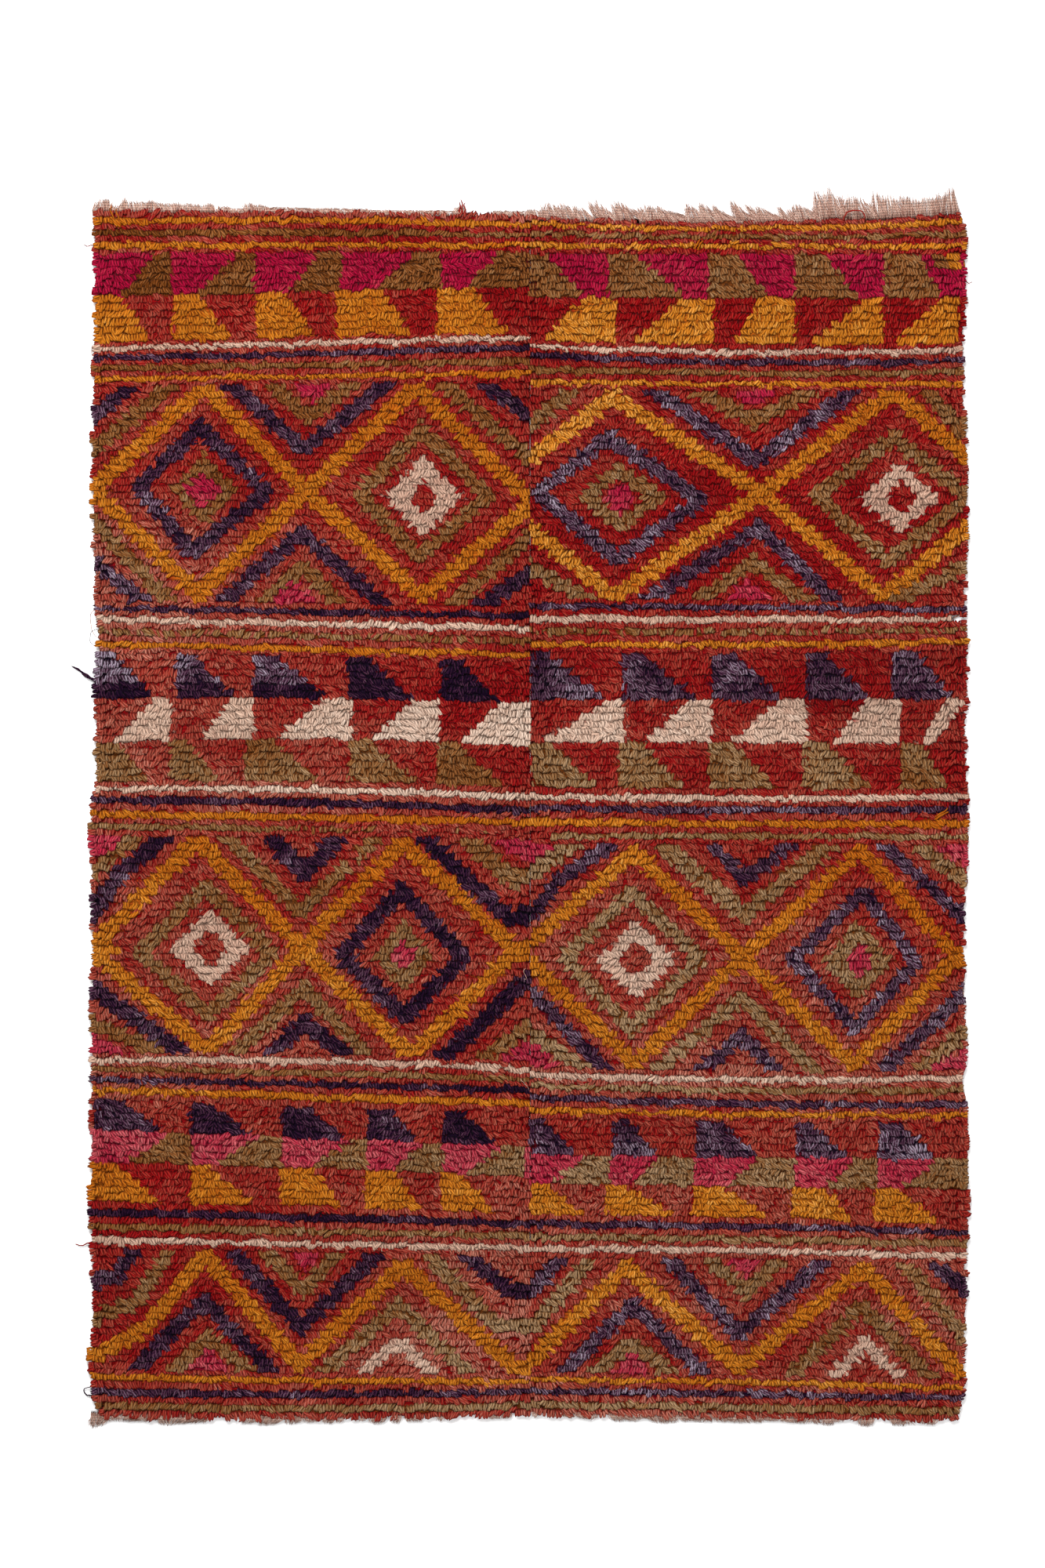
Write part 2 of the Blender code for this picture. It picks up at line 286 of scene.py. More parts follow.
# Bands of nested diamonds and zigzags. A line is its yarn and its corners, and then its own width where that
# differs from the band's. A closed line has its outer corners given.
# A heart is a small filled diamond: yarn, across, down, half width and half height.
lineRunOn = 14    # how far the open end of a line runs on
ringInset = 6     # how far inside its outer corners the middle of a closed line lies
heartBulge = {"cream": 1.0, "khaki": 1.0, "pink": 1.15, "red": 1.15, "gold": 1.15}   # 1 is a true diamond
lineWidths = {"gold": 21, "khaki": 19.5, "indigo": 20, "cream": 16}
secondWidths = {
    "left": {"gold": 20.5, "khaki": 19, "indigo": 22},
    "right": {"gold": 19.5, "khaki": 19, "indigo": 18},
}
figureBands = [
    {"rows": (28, 58), "side": "left", "widths": lineWidths, "lines": [
        ("gold", [(-600, 382), (-450, 244), (-308, 387), (-158, 244), (4, 403)]),
        ("gold", [(-600, 387), (-458, 529), (-308, 387), (-149, 532), (4, 403)]),
        ("indigo", [(-455, 293), (-356, 387), (-467, 478), (-545, 382), (-455, 293)]),
        ("khaki", [(-149, 297), (-52, 394), (-153, 484), (-241, 391), (-149, 297)]),
        ("indigo", [(-411, 241), (-312, 329), (-202, 244)]),
        ("khaki", [(-352, 244), (-306, 285), (-251, 244)]),
        ("indigo", [(-418, 537), (-316, 444), (-206, 541)]),
        ("khaki", [(-368, 541), (-312, 492), (-264, 541)]),
        ("indigo", [(-596, 281), (-548, 241)]),
        ("khaki", [(-600, 329), (-499, 244)]),
        ("khaki", [(-596, 435), (-503, 532)]),
        ("indigo", [(-596, 488), (-536, 537)]),
        ("khaki", [(-117, 241), (4, 346)]),
        ("indigo", [(-56, 244), (1, 285)]),
        ("khaki", [(-105, 541), (4, 447)]),
        ("indigo", [(-60, 541), (1, 500)]),
     ], "hearts": [
        ("khaki", -449, 385, 46, 49), ("pink", -452, 386, 27, 23), ("cream", -147, 394, 52, 57),
        ("red", -146, 396, 18, 25), ("pink", -300, 240, 25, 25), ("pink", -324, 545, 38, 33),
     ]},
    {"rows": (28, 58), "side": "right", "widths": lineWidths, "lines": [
        ("gold", [(1, 340), (114, 257), (319, 390), (501, 249), (600, 340)]),
        ("gold", [(1, 440), (117, 532), (319, 390), (488, 532), (600, 440)]),
        ("indigo", [(108, 306), (241, 399), (121, 487), (5, 390), (108, 306)]),
        ("khaki", [(121, 353), (183, 394), (125, 440), (71, 394), (121, 353)]),
        ("khaki", [(501, 307), (389, 394), (492, 489), (610, 394), (501, 307)]),
        ("indigo", [(171, 249), (311, 345), (436, 256)]),
        ("khaki", [(241, 254), (311, 291), (377, 254)]),
        ("indigo", [(166, 535), (315, 437), (416, 535)]),
        ("khaki", [(237, 535), (307, 485), (377, 535)]),
        ("khaki", [(1, 295), (58, 249)]),
        ("khaki", [(5, 494), (71, 532)]),
        ("khaki", [(546, 249), (592, 299)]),
        ("khaki", [(517, 532), (592, 494)]),
     ], "hearts": [
        ("pink", 124, 397, 22, 22), ("cream", 509, 396, 55, 50), ("red", 512, 395, 23, 24),
        ("pink", 309, 244, 33, 27), ("pink", 300, 540, 33, 30),
     ]},
    {"rows": (95, 125), "side": "left", "widths": secondWidths["left"], "lines": [
        ("gold", [(-600, 1012), (-458, 867), (-314, 1017), (-176, 870), (-23, 1014), (5, 1014)]),
        ("gold", [(-600, 1024), (-444, 1159), (-314, 1017), (-165, 1165), (-23, 1024), (5, 1024)]),
        ("khaki", [(-448, 926), (-349, 1025), (-444, 1115), (-541, 1023), (-448, 926)]),
        ("indigo", [(-178, 932), (-84, 1029), (-172, 1117), (-265, 1025), (-178, 932)]),
        ("khaki", [(-548, 867), (-600, 912)]),
        ("indigo", [(-503, 863), (-570, 920), (-600, 965)]),
        ("khaki", [(-414, 867), (-316, 967), (-222, 873)]),
        ("indigo", [(-352, 868), (-312, 914), (-267, 867)]),
        ("khaki", [(-405, 1161), (-312, 1072), (-227, 1161)]),
        ("indigo", [(-347, 1153), (-312, 1119), (-259, 1161)]),
        ("indigo", [(-603, 1072), (-490, 1153)]),
        ("khaki", [(-603, 1119), (-527, 1153)]),
        ("indigo", [(-137, 873), (-31, 974), (1, 971)]),
        ("khaki", [(-77, 875), (-22, 922), (4, 914)], 25),
        ("indigo", [(-117, 1165), (-8, 1064)]),
        ("khaki", [(-64, 1170), (-8, 1129)]),
     ], "hearts": [
        ("cream", -441, 1017, 55, 54), ("red", -441, 1017, 24, 27), ("khaki", -174, 1028, 42, 50),
        ("pink", -174, 1027, 20, 20), ("pink", -596, 864, 36, 30), ("pink", -603, 1163, 46, 26),
        ("gold", -594, 1018, 32, 18),
        ("pink", 0, 868, 50, 32), ("pink", 0, 1168, 38, 26),
     ]},
    {"rows": (95, 125), "side": "right", "widths": secondWidths["right"], "lines": [
        ("gold", [(-12, 1019), (144, 885), (293, 1029), (456, 882), (583, 1024), (606, 1024)]),
        ("gold", [(-12, 1024), (144, 1176), (293, 1029), (445, 1178), (583, 1034), (606, 1034)]),
        ("khaki", [(141, 934), (241, 1031), (139, 1135), (42, 1029), (141, 934)]),
        ("indigo", [(460, 934), (538, 1036), (447, 1133), (356, 1031), (460, 934)]),
        ("khaki", [(-2, 914), (51, 878)], 24),
        ("indigo", [(1, 970), (9, 963), (33, 928), (108, 876)]),
        ("khaki", [(195, 885), (295, 970), (406, 880)], 23),
        ("indigo", [(257, 880), (295, 922), (352, 880)]),
        ("indigo", [(495, 882), (592, 970)]),
        ("khaki", [(546, 885), (594, 920)]),
        ("indigo", [(1, 1077), (96, 1176)]),
        ("khaki", [(1, 1134), (63, 1176)]),
        ("khaki", [(178, 1183), (291, 1085), (390, 1183)]),
        ("indigo", [(241, 1180), (291, 1138), (340, 1185)]),
        ("indigo", [(492, 1180), (592, 1085)]),
        ("khaki", [(538, 1183), (592, 1138)]),
     ], "hearts": [
        ("cream", 146, 1033, 54, 54), ("red", 145, 1032, 25, 25), ("khaki", 451, 1034, 48, 57),
        ("pink", 455, 1034, 19, 24),
        ("pink", 2, 874, 28, 28), ("pink", 604, 878, 44, 26),
        ("pink", 2, 1180, 42, 32), ("pink", 600, 1184, 52, 28),
     ]},
    {"rows": (157, 173), "side": "left", "widths": lineWidths, "lines": [
        ("gold", [
            (-603, 1580), (-531, 1542), (-448, 1440), (-318, 1590), (-174, 1454), (-24, 1592), (6, 1589),
        ]),
        ("indigo", [(-540, 1595), (-450, 1502), (-361, 1595)]),
        ("khaki", [(-490, 1597), (-442, 1553), (-393, 1595)]),
        ("khaki", [(-283, 1599), (-181, 1508), (-89, 1599)]),
        ("cream", [(-232, 1602), (-181, 1558), (-135, 1602)]),
        ("indigo", [(-596, 1475), (-572, 1470), (-548, 1437)]),
        ("khaki", [(-598, 1526), (-543, 1504), (-503, 1443)]),
        ("indigo", [(-407, 1437), (-316, 1539), (-222, 1449)]),
        ("khaki", [(-356, 1443), (-312, 1489), (-271, 1443)]),
        ("khaki", [(-129, 1452), (-48, 1535), (-3, 1537)]),
        ("indigo", [(-77, 1449), (-27, 1489), (1, 1486)]),
     ], "hearts": [("pink", -442, 1604, 34, 34), ("pink", -308, 1437, 18, 24)]},
    {"rows": (157, 173), "side": "right", "widths": lineWidths, "lines": [
        ("gold", [(-8, 1595), (133, 1456), (288, 1595), (460, 1458), (590, 1600)]),
        ("indigo", [(49, 1599), (141, 1508), (237, 1601)]),
        ("khaki", [(96, 1597), (139, 1560), (187, 1597)]),
        ("khaki", [(363, 1603), (456, 1510), (549, 1605)]),
        ("cream", [(424, 1603), (460, 1560), (505, 1603)]),
        ("indigo", [(1, 1488), (33, 1455)]),
        ("khaki", [(1, 1539), (9, 1535), (76, 1453)]),
        ("indigo", [(198, 1453), (288, 1548), (402, 1450)]),
        ("khaki", [(253, 1450), (298, 1489), (340, 1450)]),
        ("khaki", [(522, 1458), (592, 1545)]),
        ("indigo", [(565, 1458), (600, 1489)]),
     ], "hearts": [("pink", 141, 1605, 29, 32), ("pink", 298, 1446, 23, 24)]},
]

# Small places where the weaver used up another yarn: side, yarn, rows, from and to across.
oddPatches = [
    ("right", "khaki", (7, 8), 556, 575),
    ("right", "gold", (7, 8), 574, 595),
    ("left", "red", (97, 98), -252, -238),
]
slantedPatches = [  # side, yarn, rows, then from and to across at the first row and at the last one
    ("right", "cream", (74, 79), (573, 597), (541, 560)),
]


def lineDistance(across, down, corners):
    # distance from each loop to a line
    corners = np.array(corners, float)
    if tuple(corners[0]) == tuple(corners[-1]):
        inward = corners[:-1].mean(axis=0) - corners
        corners += inward / np.linalg.norm(inward, axis=1, keepdims=True) * ringInset
    else:
        for end, inner in ((0, 1), (-1, -2)):
            out = corners[end] - corners[inner]
            corners[end] += out / np.linalg.norm(out) * lineRunOn
    nearest = np.full(across.shape, 1e9)
    for (x0, y0), (x1, y1) in zip(corners, corners[1:]):
        along = ((across - x0) * (x1 - x0) + (down - y0) * (y1 - y0)) / ((x1 - x0) ** 2 + (y1 - y0) ** 2)
        along = np.clip(along, 0, 1)
        gap = np.hypot(across - x0 - along * (x1 - x0), down - y0 - along * (y1 - y0))
        nearest = np.minimum(nearest, gap)
    return nearest


def inPatch(row, across, rows, start, end):
    return (row >= rows[0]) & (row <= rows[1]) & (across > start) & (across < end)


def yarnChart(side, row, across, down, dice):
    # which yarn each loop is made of
    chart = np.zeros(row.shape, int)
    for yarn, rows in stripeRows.items():
        chart[np.isin(row, rows)] = yarns.index(yarn)
    for breakSide, breakRow, start, end, share in stripeBreaks:
        if breakSide == side:
            broken = inPatch(row, across, (breakRow, breakRow), start, end) & (dice < share)
            chart[broken] = yarns.index("red")
    for band in sawBands:
        first, last = band["rows"]
        inBand = (row >= first) & (row <= last)
        chart[inBand] = yarns.index(band["field"])
        share = (row - first) / (last - first)
        grows, teeth = band[side]
        for upright, topWidth, baseWidth in teeth:
            width = topWidth + share * (baseWidth - topWidth)
            out = (across - upright) * (1 if grows == "right" else -1)
            chart[inBand & (out >= 0) & (out < width)] = yarns.index(band["tooth"])
    for band in figureBands:
        if band["side"] != side:
            continue
        inBand = (row >= band["rows"][0]) & (row <= band["rows"][1])
        for yarn, corners, *ownWidth in band["lines"]:
            width = ownWidth[0] if ownWidth else band["widths"][yarn]
            near = lineDistance(across, down, corners) < width / 2
            chart[inBand & near] = yarns.index(yarn)
        for yarn, middle, level, halfWidth, halfHeight in band["hearts"]:
            offX, offY = abs(across - middle) / halfWidth, abs(down - level) / halfHeight
            inside = offX ** heartBulge[yarn] + offY ** heartBulge[yarn] < 1
            chart[inBand & inside] = yarns.index(yarn)
    for patchSide, yarn, rows, start, end in oddPatches:
        if patchSide == side:
            chart[inPatch(row, across, rows, start, end)] = yarns.index(yarn)
    for patchSide, yarn, rows, high, low in slantedPatches:
        if patchSide == side:
            start, end = (np.interp(row, rows, (high[i], low[i])) for i in (0, 1))
            chart[inPatch(row, across, rows, start, end)] = yarns.index(yarn)
    return chart


woolDyes = {  # each yarn's colour from one end of its dye to the other, as linear colours
    "red": [(0.00, (0.188, 0.002, 0.003)), (0.20, (0.249, 0.004, 0.006)), (0.40, (0.268, 0.017, 0.012)),
            (0.60, (0.291, 0.041, 0.026)), (0.80, (0.320, 0.067, 0.043)), (1.00, (0.395, 0.140, 0.097))],
    "gold": [(0.00, (0.268, 0.034, 0.002)), (0.35, (0.368, 0.086, 0.005)), (0.60, (0.424, 0.126, 0.009)),
             (0.80, (0.487, 0.166, 0.015)), (1.00, (0.560, 0.250, 0.050))],
    "khaki": [(0.00, (0.112, 0.029, 0.004)), (0.35, (0.208, 0.070, 0.018)),
              (0.65, (0.222, 0.106, 0.040)), (1.00, (0.300, 0.184, 0.098))],
    "indigo": [(0.00, (0.008, 0.002, 0.011)), (0.30, (0.034, 0.008, 0.025)), (0.55, (0.076, 0.029, 0.050)),
               (0.80, (0.144, 0.088, 0.126)), (1.00, (0.288, 0.230, 0.285))],
    "cream": [(0.00, (0.260, 0.110, 0.074)), (0.40, (0.430, 0.238, 0.170)),
              (0.70, (0.535, 0.348, 0.256)), (1.00, (0.640, 0.480, 0.380))],
    "pink": [(0.00, (0.168, 0.002, 0.013)), (0.35, (0.302, 0.003, 0.029)),
             (0.70, (0.361, 0.025, 0.045)), (1.00, (0.462, 0.095, 0.104))],
    "warp": [(0.00, (0.30, 0.12, 0.09)), (0.40, (0.58, 0.33, 0.25)),
             (0.70, (0.76, 0.50, 0.40)), (1.00, (0.90, 0.72, 0.62))],
}
woolFinish = {"Roughness": 0.8, "Specular IOR Level": 0.01, "Sheen Weight": 0.01, "Sheen Roughness": 0.5}
spun = {
    "plies": 3,
    "plyShade": 0.38,        # painted shade: how much darker it is between two plies
    "plyRelief": 0.0004,
    "fibreRelief": 0.00012,
    "reliefStrength": 0.8,
    "fibreStretch": (9.0, 1.6, 1.0),   # fibres are thin round the yarn and long along it
    "fibreScale": 2.0,
    "fibreDetail": 3.0,
    "trueShade": 0.7,        # where painted shade neither deepens nor lightens the dye
}
# How light a yarn's loops are at their roots, as painted shade, how much its single fibres differ in dye,
# and how far painted shade deepens its dye.
rootPaintedShade = {"gold": 0.28, "cream": 0.34, "pink": 0.28, "rest": 0.12}
fibreContrast = {"indigo": 0.5, "rest": 0.16}
shadeDepth = {"cream": 0.02, "indigo": 0.45, "gold": 0.38, "pink": 0.35, "rest": 0.6}


def addNode(tree, kind, **settings):
    node = tree.nodes.new(kind)
    for name, value in settings.items():
        setattr(node, name, value)
    return node


def mathNode(tree, operation, *values):
    node = addNode(tree, "ShaderNodeMath", operation=operation)
    for socket, value in zip(node.inputs, values):
        if isinstance(value, (int, float)):
            socket.default_value = value
        else:
            tree.links.new(value, socket)
    return node.outputs[0]


def attributeNode(tree, name):
    return addNode(tree, "ShaderNodeAttribute", attribute_name=name).outputs["Fac"]


def paintShaded(tree, shader, colour, light):
    scaled = addNode(tree, "ShaderNodeVectorMath", operation="SCALE")
    tree.links.new(colour, scaled.inputs[0])
    tree.links.new(light, scaled.inputs["Scale"])
    tree.links.new(scaled.outputs[0], shader.inputs["Base Color"])


def addRelief(tree, shader, height, distance, strength):
    bump = addNode(tree, "ShaderNodeBump")
    bump.inputs["Distance"].default_value = distance
    bump.inputs["Strength"].default_value = strength
    tree.links.new(height, bump.inputs["Height"])
    tree.links.new(bump.outputs["Normal"], shader.inputs["Normal"])


def makeWool(yarn):
    # spun wool: plies turning round the yarn, long fibres, a dye that varies, and painted shade at the roots
    # and between the plies
    material, tree, shader = newMaterial(yarn + "Wool", woolFinish)
    choices = (rootPaintedShade, fibreContrast, shadeDepth)
    base, contrast, depth = (values.get(yarn, values["rest"]) for values in choices)

    place = addNode(tree, "ShaderNodeUVMap", uv_map="yarnTurn").outputs[0]
    apart = addNode(tree, "ShaderNodeSeparateXYZ")
    tree.links.new(place, apart.inputs[0])
    around, along = apart.outputs[0], apart.outputs[1]
    turn = mathNode(tree, "MULTIPLY", mathNode(tree, "MULTIPLY_ADD", around, spun["plies"], along), math.tau)
    ply = mathNode(tree, "MULTIPLY_ADD", mathNode(tree, "SINE", turn), 0.5, 0.5)

    stretch = addNode(tree, "ShaderNodeMapping")
    stretch.inputs["Scale"].default_value = spun["fibreStretch"]
    tree.links.new(place, stretch.inputs["Vector"])
    fibre = addNode(tree, "ShaderNodeTexNoise", noise_dimensions="2D")
    fibre.inputs["Scale"].default_value = spun["fibreScale"]
    fibre.inputs["Detail"].default_value = spun["fibreDetail"]
    tree.links.new(stretch.outputs[0], fibre.inputs["Vector"])
    fibreValue = fibre.outputs["Fac"]

    # how light each place is, in painted light and shade along the loop and between the plies, and where on
    # the yarn's dyes it lies: painted shade and single fibres deepen it
    dye = attributeNode(tree, "dye")
    streak = mathNode(tree, "MULTIPLY_ADD", mathNode(tree, "SUBTRACT", fibreValue, 0.5), contrast * 2, dye)
    streak = mathNode(tree, "MULTIPLY_ADD", mathNode(tree, "SUBTRACT", ply, 0.5), contrast / 2, streak)
    light = mathNode(tree, "MULTIPLY_ADD", attributeNode(tree, "paintedLight"), 1 - base, base)
    plyLight = mathNode(tree, "MULTIPLY_ADD", ply, spun["plyShade"], 1 - spun["plyShade"])
    light = mathNode(tree, "MULTIPLY", light, plyLight)
    fromTrue = mathNode(tree, "SUBTRACT", light, spun["trueShade"])
    streak = mathNode(tree, "MULTIPLY_ADD", fromTrue, depth, streak)
    ramp = addNode(tree, "ShaderNodeValToRGB")
    stops = woolDyes[yarn]
    while len(ramp.color_ramp.elements) < len(stops):
        ramp.color_ramp.elements.new(0.5)
    for element, (at, colour) in zip(ramp.color_ramp.elements, stops):
        element.position = at
        element.color = (*colour, 1)
    tree.links.new(streak, ramp.inputs["Fac"])
    paintShaded(tree, shader, ramp.outputs["Color"], light)

    relief = mathNode(tree, "MULTIPLY_ADD", fibreValue, spun["fibreRelief"] / spun["plyRelief"], ply)
    addRelief(tree, shader, relief, spun["plyRelief"], spun["reliefStrength"])
    return material


ribs = {
    "finish": {"Roughness": 0.9, "Specular IOR Level": 0.05},
    "scale": 70.0,
    "distortion": 1.5,
    "light": (0.6, 0.5),   # painted shade between two ribs, and how much more painted light on top of one
    "relief": 0.0006,
}


def makeGroundWeave():
    # rough weft ribs, with painted shade between them, coloured with the painted shade of the roots
    material, tree, shader = newMaterial("groundWeave", ribs["finish"])
    shade = addNode(tree, "ShaderNodeAttribute", attribute_name="rootShade").outputs["Color"]
    place = addNode(tree, "ShaderNodeTexCoord").outputs["Object"]
    rib = addNode(tree, "ShaderNodeTexWave", wave_type="BANDS", bands_direction="Y")
    rib.inputs["Scale"].default_value = ribs["scale"]
    rib.inputs["Distortion"].default_value = ribs["distortion"]
    tree.links.new(place, rib.inputs["Vector"])
    low, more = ribs["light"]
    paintShaded(tree, shader, shade, mathNode(tree, "MULTIPLY_ADD", rib.outputs["Fac"], more, low))
    addRelief(tree, shader, rib.outputs["Fac"], ribs["relief"], 1.0)
    return material


wool = {yarn: makeWool(yarn) for yarn in woolDyes}
groundWeave = makeGroundWeave()
print("yarns dyed:", ", ".join(wool))


def meshPiece(name, points, faceSets, material, attributes=(), maps=()):
    # faceSets are arrays of faces with the same number of corners; maps are (name, places of all corners)
    mesh = bpy.data.meshes.new(name)
    corners = np.concatenate([faces.ravel() for faces in faceSets])
    sizes = np.concatenate([np.full(len(faces), faces.shape[1]) for faces in faceSets])
    mesh.vertices.add(len(points))
    mesh.vertices.foreach_set("co", points.astype(np.float32).ravel())
    mesh.loops.add(len(corners))
    mesh.loops.foreach_set("vertex_index", corners.astype(np.int32))
    mesh.polygons.add(len(sizes))
    mesh.polygons.foreach_set("loop_start", (np.cumsum(sizes) - sizes).astype(np.int32))
    mesh.update(calc_edges=True)
    mesh.shade_smooth()
    for attributeName, values in attributes:
        made = mesh.attributes.new(attributeName, "FLOAT", "POINT")
        made.data.foreach_set("value", values.astype(np.float32).ravel())
    for mapName, places in maps:
        made = mesh.uv_layers.new(name=mapName, do_init=False)
        made.uv.foreach_set("vector", places.astype(np.float32).ravel())
    mesh.materials.append(material)
    piece = bpy.data.objects.new(name, mesh)
    bpy.context.scene.collection.objects.link(piece)
    return piece


def unit(vectors):
    return vectors / np.maximum(np.linalg.norm(vectors, axis=-1, keepdims=True), 1e-9)


def makeStrands(name, paths, radii, dye, paintedLight, material, press=(1, 1), plyLength=0.010):
    # every loop, warp end and stray thread is a strand: a closed three-sided tube, flat side up, pointed
    # paths are (strands, points, 3) in metres; radii, dye and the painted light and shade are (strands,
    # points)
    # press squashes a strand's height and width, and plyLength is one turn of its plies, in metres
    count, steps = paths.shape[:2]
    along = unit(np.gradient(paths, axis=1))
    across = unit(np.cross(along, (0.0, 0.0, 1.0)))
    ridge = np.cross(across, along)
    angles = (np.arange(3) + 0.5) * math.tau / 3
    rings = (
        paths[:, :, None, :]
        + press[0] * radii[:, :, None, None] * np.cos(angles)[None, None, :, None] * ridge[:, :, None, :]
        + press[1] * radii[:, :, None, None] * np.sin(angles)[None, None, :, None] * across[:, :, None, :]
    )[:, 1:-1]
    points = np.concatenate([paths[:, :1], rings.reshape(count, -1, 3), paths[:, -1:]], axis=1)
    first = (np.arange(count) * points.shape[1])[:, None, None]
    ring = 1 + 3 * np.arange(steps - 3)[None, :, None]
    turn = np.arange(3)[None, None, :]
    following = (turn + 1) % 3
    near, far = first + ring, first + ring + 3
    quads = np.stack([near + turn, near + following, far + following, far + turn], axis=-1).reshape(-1, 4)
    tail = 1 + 3 * (steps - 3)
    fans = np.concatenate([
        np.stack([first + 1 + following, first + 1 + turn, first + 0 * turn], axis=-1),
        np.stack([first + tail + turn, first + tail + following, first + tail + 3 + 0 * turn], axis=-1),
    ], axis=1).reshape(-1, 3)

    def spread(levels):
        # places on a map: the turn round the strand by each point's level along it
        u = np.arange(3)[:, None] / 3
        low, high = levels[:, 1:-2, None, None], levels[:, 2:-1, None, None]
        quadU = np.broadcast_to(u + np.array([0, 1, 1, 0]) / 3, (count, steps - 3, 3, 4))
        quadV = low + (high - low) * np.array([0, 0, 1, 1]) * np.ones((3, 1))
        fanU = np.stack([u + np.array([1, 0, 0.5]) / 3, u + np.array([0, 1, 0.5]) / 3])
        fanV = np.stack([levels[:, [1, 1, 0]], levels[:, [-2, -2, -1]]], axis=1)[:, :, None, :]
        return (
            np.stack([quadU, quadV], axis=-1).reshape(count, -1, 2),
            np.stack(np.broadcast_arrays(fanU, fanV), axis=-1).reshape(count, -1, 2),
        )

    # the yarn's own map turns round it and runs along its twist
    lengths = np.linalg.norm(np.diff(paths, axis=1), axis=-1)
    travelled = np.concatenate([np.zeros((count, 1)), np.cumsum(lengths, axis=1)], axis=1) / plyLength
    yarnTurn = np.concatenate([part.reshape(-1, 2) for part in spread(travelled)])
    # the bake map has a small cell for each strand
    cells = math.ceil(math.sqrt(count))
    corner = np.stack([np.arange(count) % cells, np.arange(count) // cells], axis=-1)[:, None, :]
    levels = np.tile(np.linspace(0.04, 0.96, steps), (count, 1))
    bakeMap = np.concatenate([
        ((part * (0.9, 1) + (0.05, 0) + corner) / cells).reshape(-1, 2) for part in spread(levels)
    ])

    def toPoints(values):
        rings = np.repeat(values[:, 1:-1], 3, axis=1)
        return np.concatenate([values[:, :1], rings, values[:, -1:]], axis=1)

    return meshPiece(
        name, points.reshape(-1, 3), [quads, fans], material,
        [("dye", toPoints(dye)), ("paintedLight", toPoints(paintedLight))], [("yarnTurn", yarnTurn), ("OFBake", bakeMap)],
    )


# The loop pile, in mm and degrees.
pile = {
    "rows": 181,
    "loopsAcross": 172,
    "yarnRadius": 2.0,
    "radiusScatter": 0.11,
    "press": (0.9, 1.2),     # loops lie against each other, a little lower and wider than a round yarn
    "rowHeight": 9.2,
    "slant": (38, 19),       # how far a patch of loops leans to one side, and how far single loops differ
    "smallSlant": (14, 18),  # how far and how big the small patches within it are
    "slantLimit": 58,
    "swirl": (36, 12),       # size of the patches that lean one way, across and down
    "broadSwirl": (0.3, 90),   # how much and how big the drift behind them is
    "swirlEdge": 2.4,        # how quickly one patch turns into the next
    "bow": (0.4, 1.5, 0.3),  # how far a knot's strands bend apart, bend to one side together, and differ
    "wobble": (0.3, 0.15),   # how far the points of a loop are off its arch, along the floor and in height
    "proud": 0.5,            # how much the loops of a stripe stand above the red ones
    "lift": (0.35, 0.4),     # how much higher or lower knots and single loops lie
    "rowWander": 2.1,        # how far the crease between two rows wanders
    "spacing": 0.25,         # how far the loops of a row shift together, in loops
    "nudge": (0.35, 0.5),    # how far single loops and knots lie off their place
    "rootsAbove": 1.6,       # how far above its crease a loop starts
    "endsAbove": 1.2,        # and how far above the next one it would end without its overlap
    "overlap": 3.1,          # how far loops reach over the crease below them
    "knotWander": 1.5,       # and how far that varies between knots
    "loopWander": 0.6,       # and between loops
    "knotShift": 1.1,        # how far a knot lies off its row
    "outerInset": 2.4,       # from the panel's outer edge to its first loops
    "seamInset": 0.3,
    "edgeZone": 22,          # towards the outer edge and the seam the loops lean less and less
    "edgeLean": 3.5,         # how far the last ones lean outwards
    "edgePlay": 1.5,         # how far inside the outer edge their roots stay, and how far they may pass it
    "seamReach": (-1, 3.5),  # how far loops may reach over the seam
}
# At its outer edge a row ends in loops that lie sideways and stick out, one row further than the next.
endLoops = {
    "left": (0.5, 2.2, 4.2, 6.4),    # how far those of a row may stick out
    "right": (0.2, 1.4, 2.8, 4.8),
    "places": (-2.7, 0.0, 2.7),      # where they lie against the middle of their row
    "fan": (1.2, 0.8),               # how those places spread at the root and at the end
    "inside": (8, 2),                # how far inside the edge they start, and how far that varies
    "middle": 3,                     # and how far inside it their yarn is chosen
    "scatter": 0.7,
    "lift": (0.2, 0.4),
}
halfwayRow = 90.5    # the red pile is made in two halves, at the head and at the foot


def knotNoise(row, column, rng):
    # a random value shared by the strands of one knot
    dice = rng.normal(0, 1, (pile["rows"], pile["loopsAcross"] // 2 + 1))
    return dice[row.astype(int), column // 2]


def leanOf(row, column, across, down, rng):
    # how far each loop leans to one side over its length
    swirlX, swirlY = pile["swirl"]
    broad, broadSize = pile["broadSwirl"]
    swirl = softNoise(across, down * swirlX / swirlY, swirlX, 11)
    swirl = swirl + broad * softNoise(across, down, broadSize, 12)
    slant, scatter = pile["slant"]
    smallSlant, smallSize = pile["smallSlant"]
    angle = slant * np.tanh(pile["swirlEdge"] * swirl) + smallSlant * softNoise(across, down, smallSize, 14)
    angle = angle + scatter * knotNoise(row, column, rng) + rng.normal(0, scatter / 2, across.shape)
    return pile["rowHeight"] * np.tan(np.radians(np.clip(angle, -pile["slantLimit"], pile["slantLimit"])))


def creaseDown(side, line, across):
    # the crease between two rows, which wanders
    wander = softNoise(across, line * 211.0, 12, 32) + 0.5 * softNoise(across, line * 211.0, 34, 33)
    return rowDown(side, line, across) + pile["rowWander"] * wander


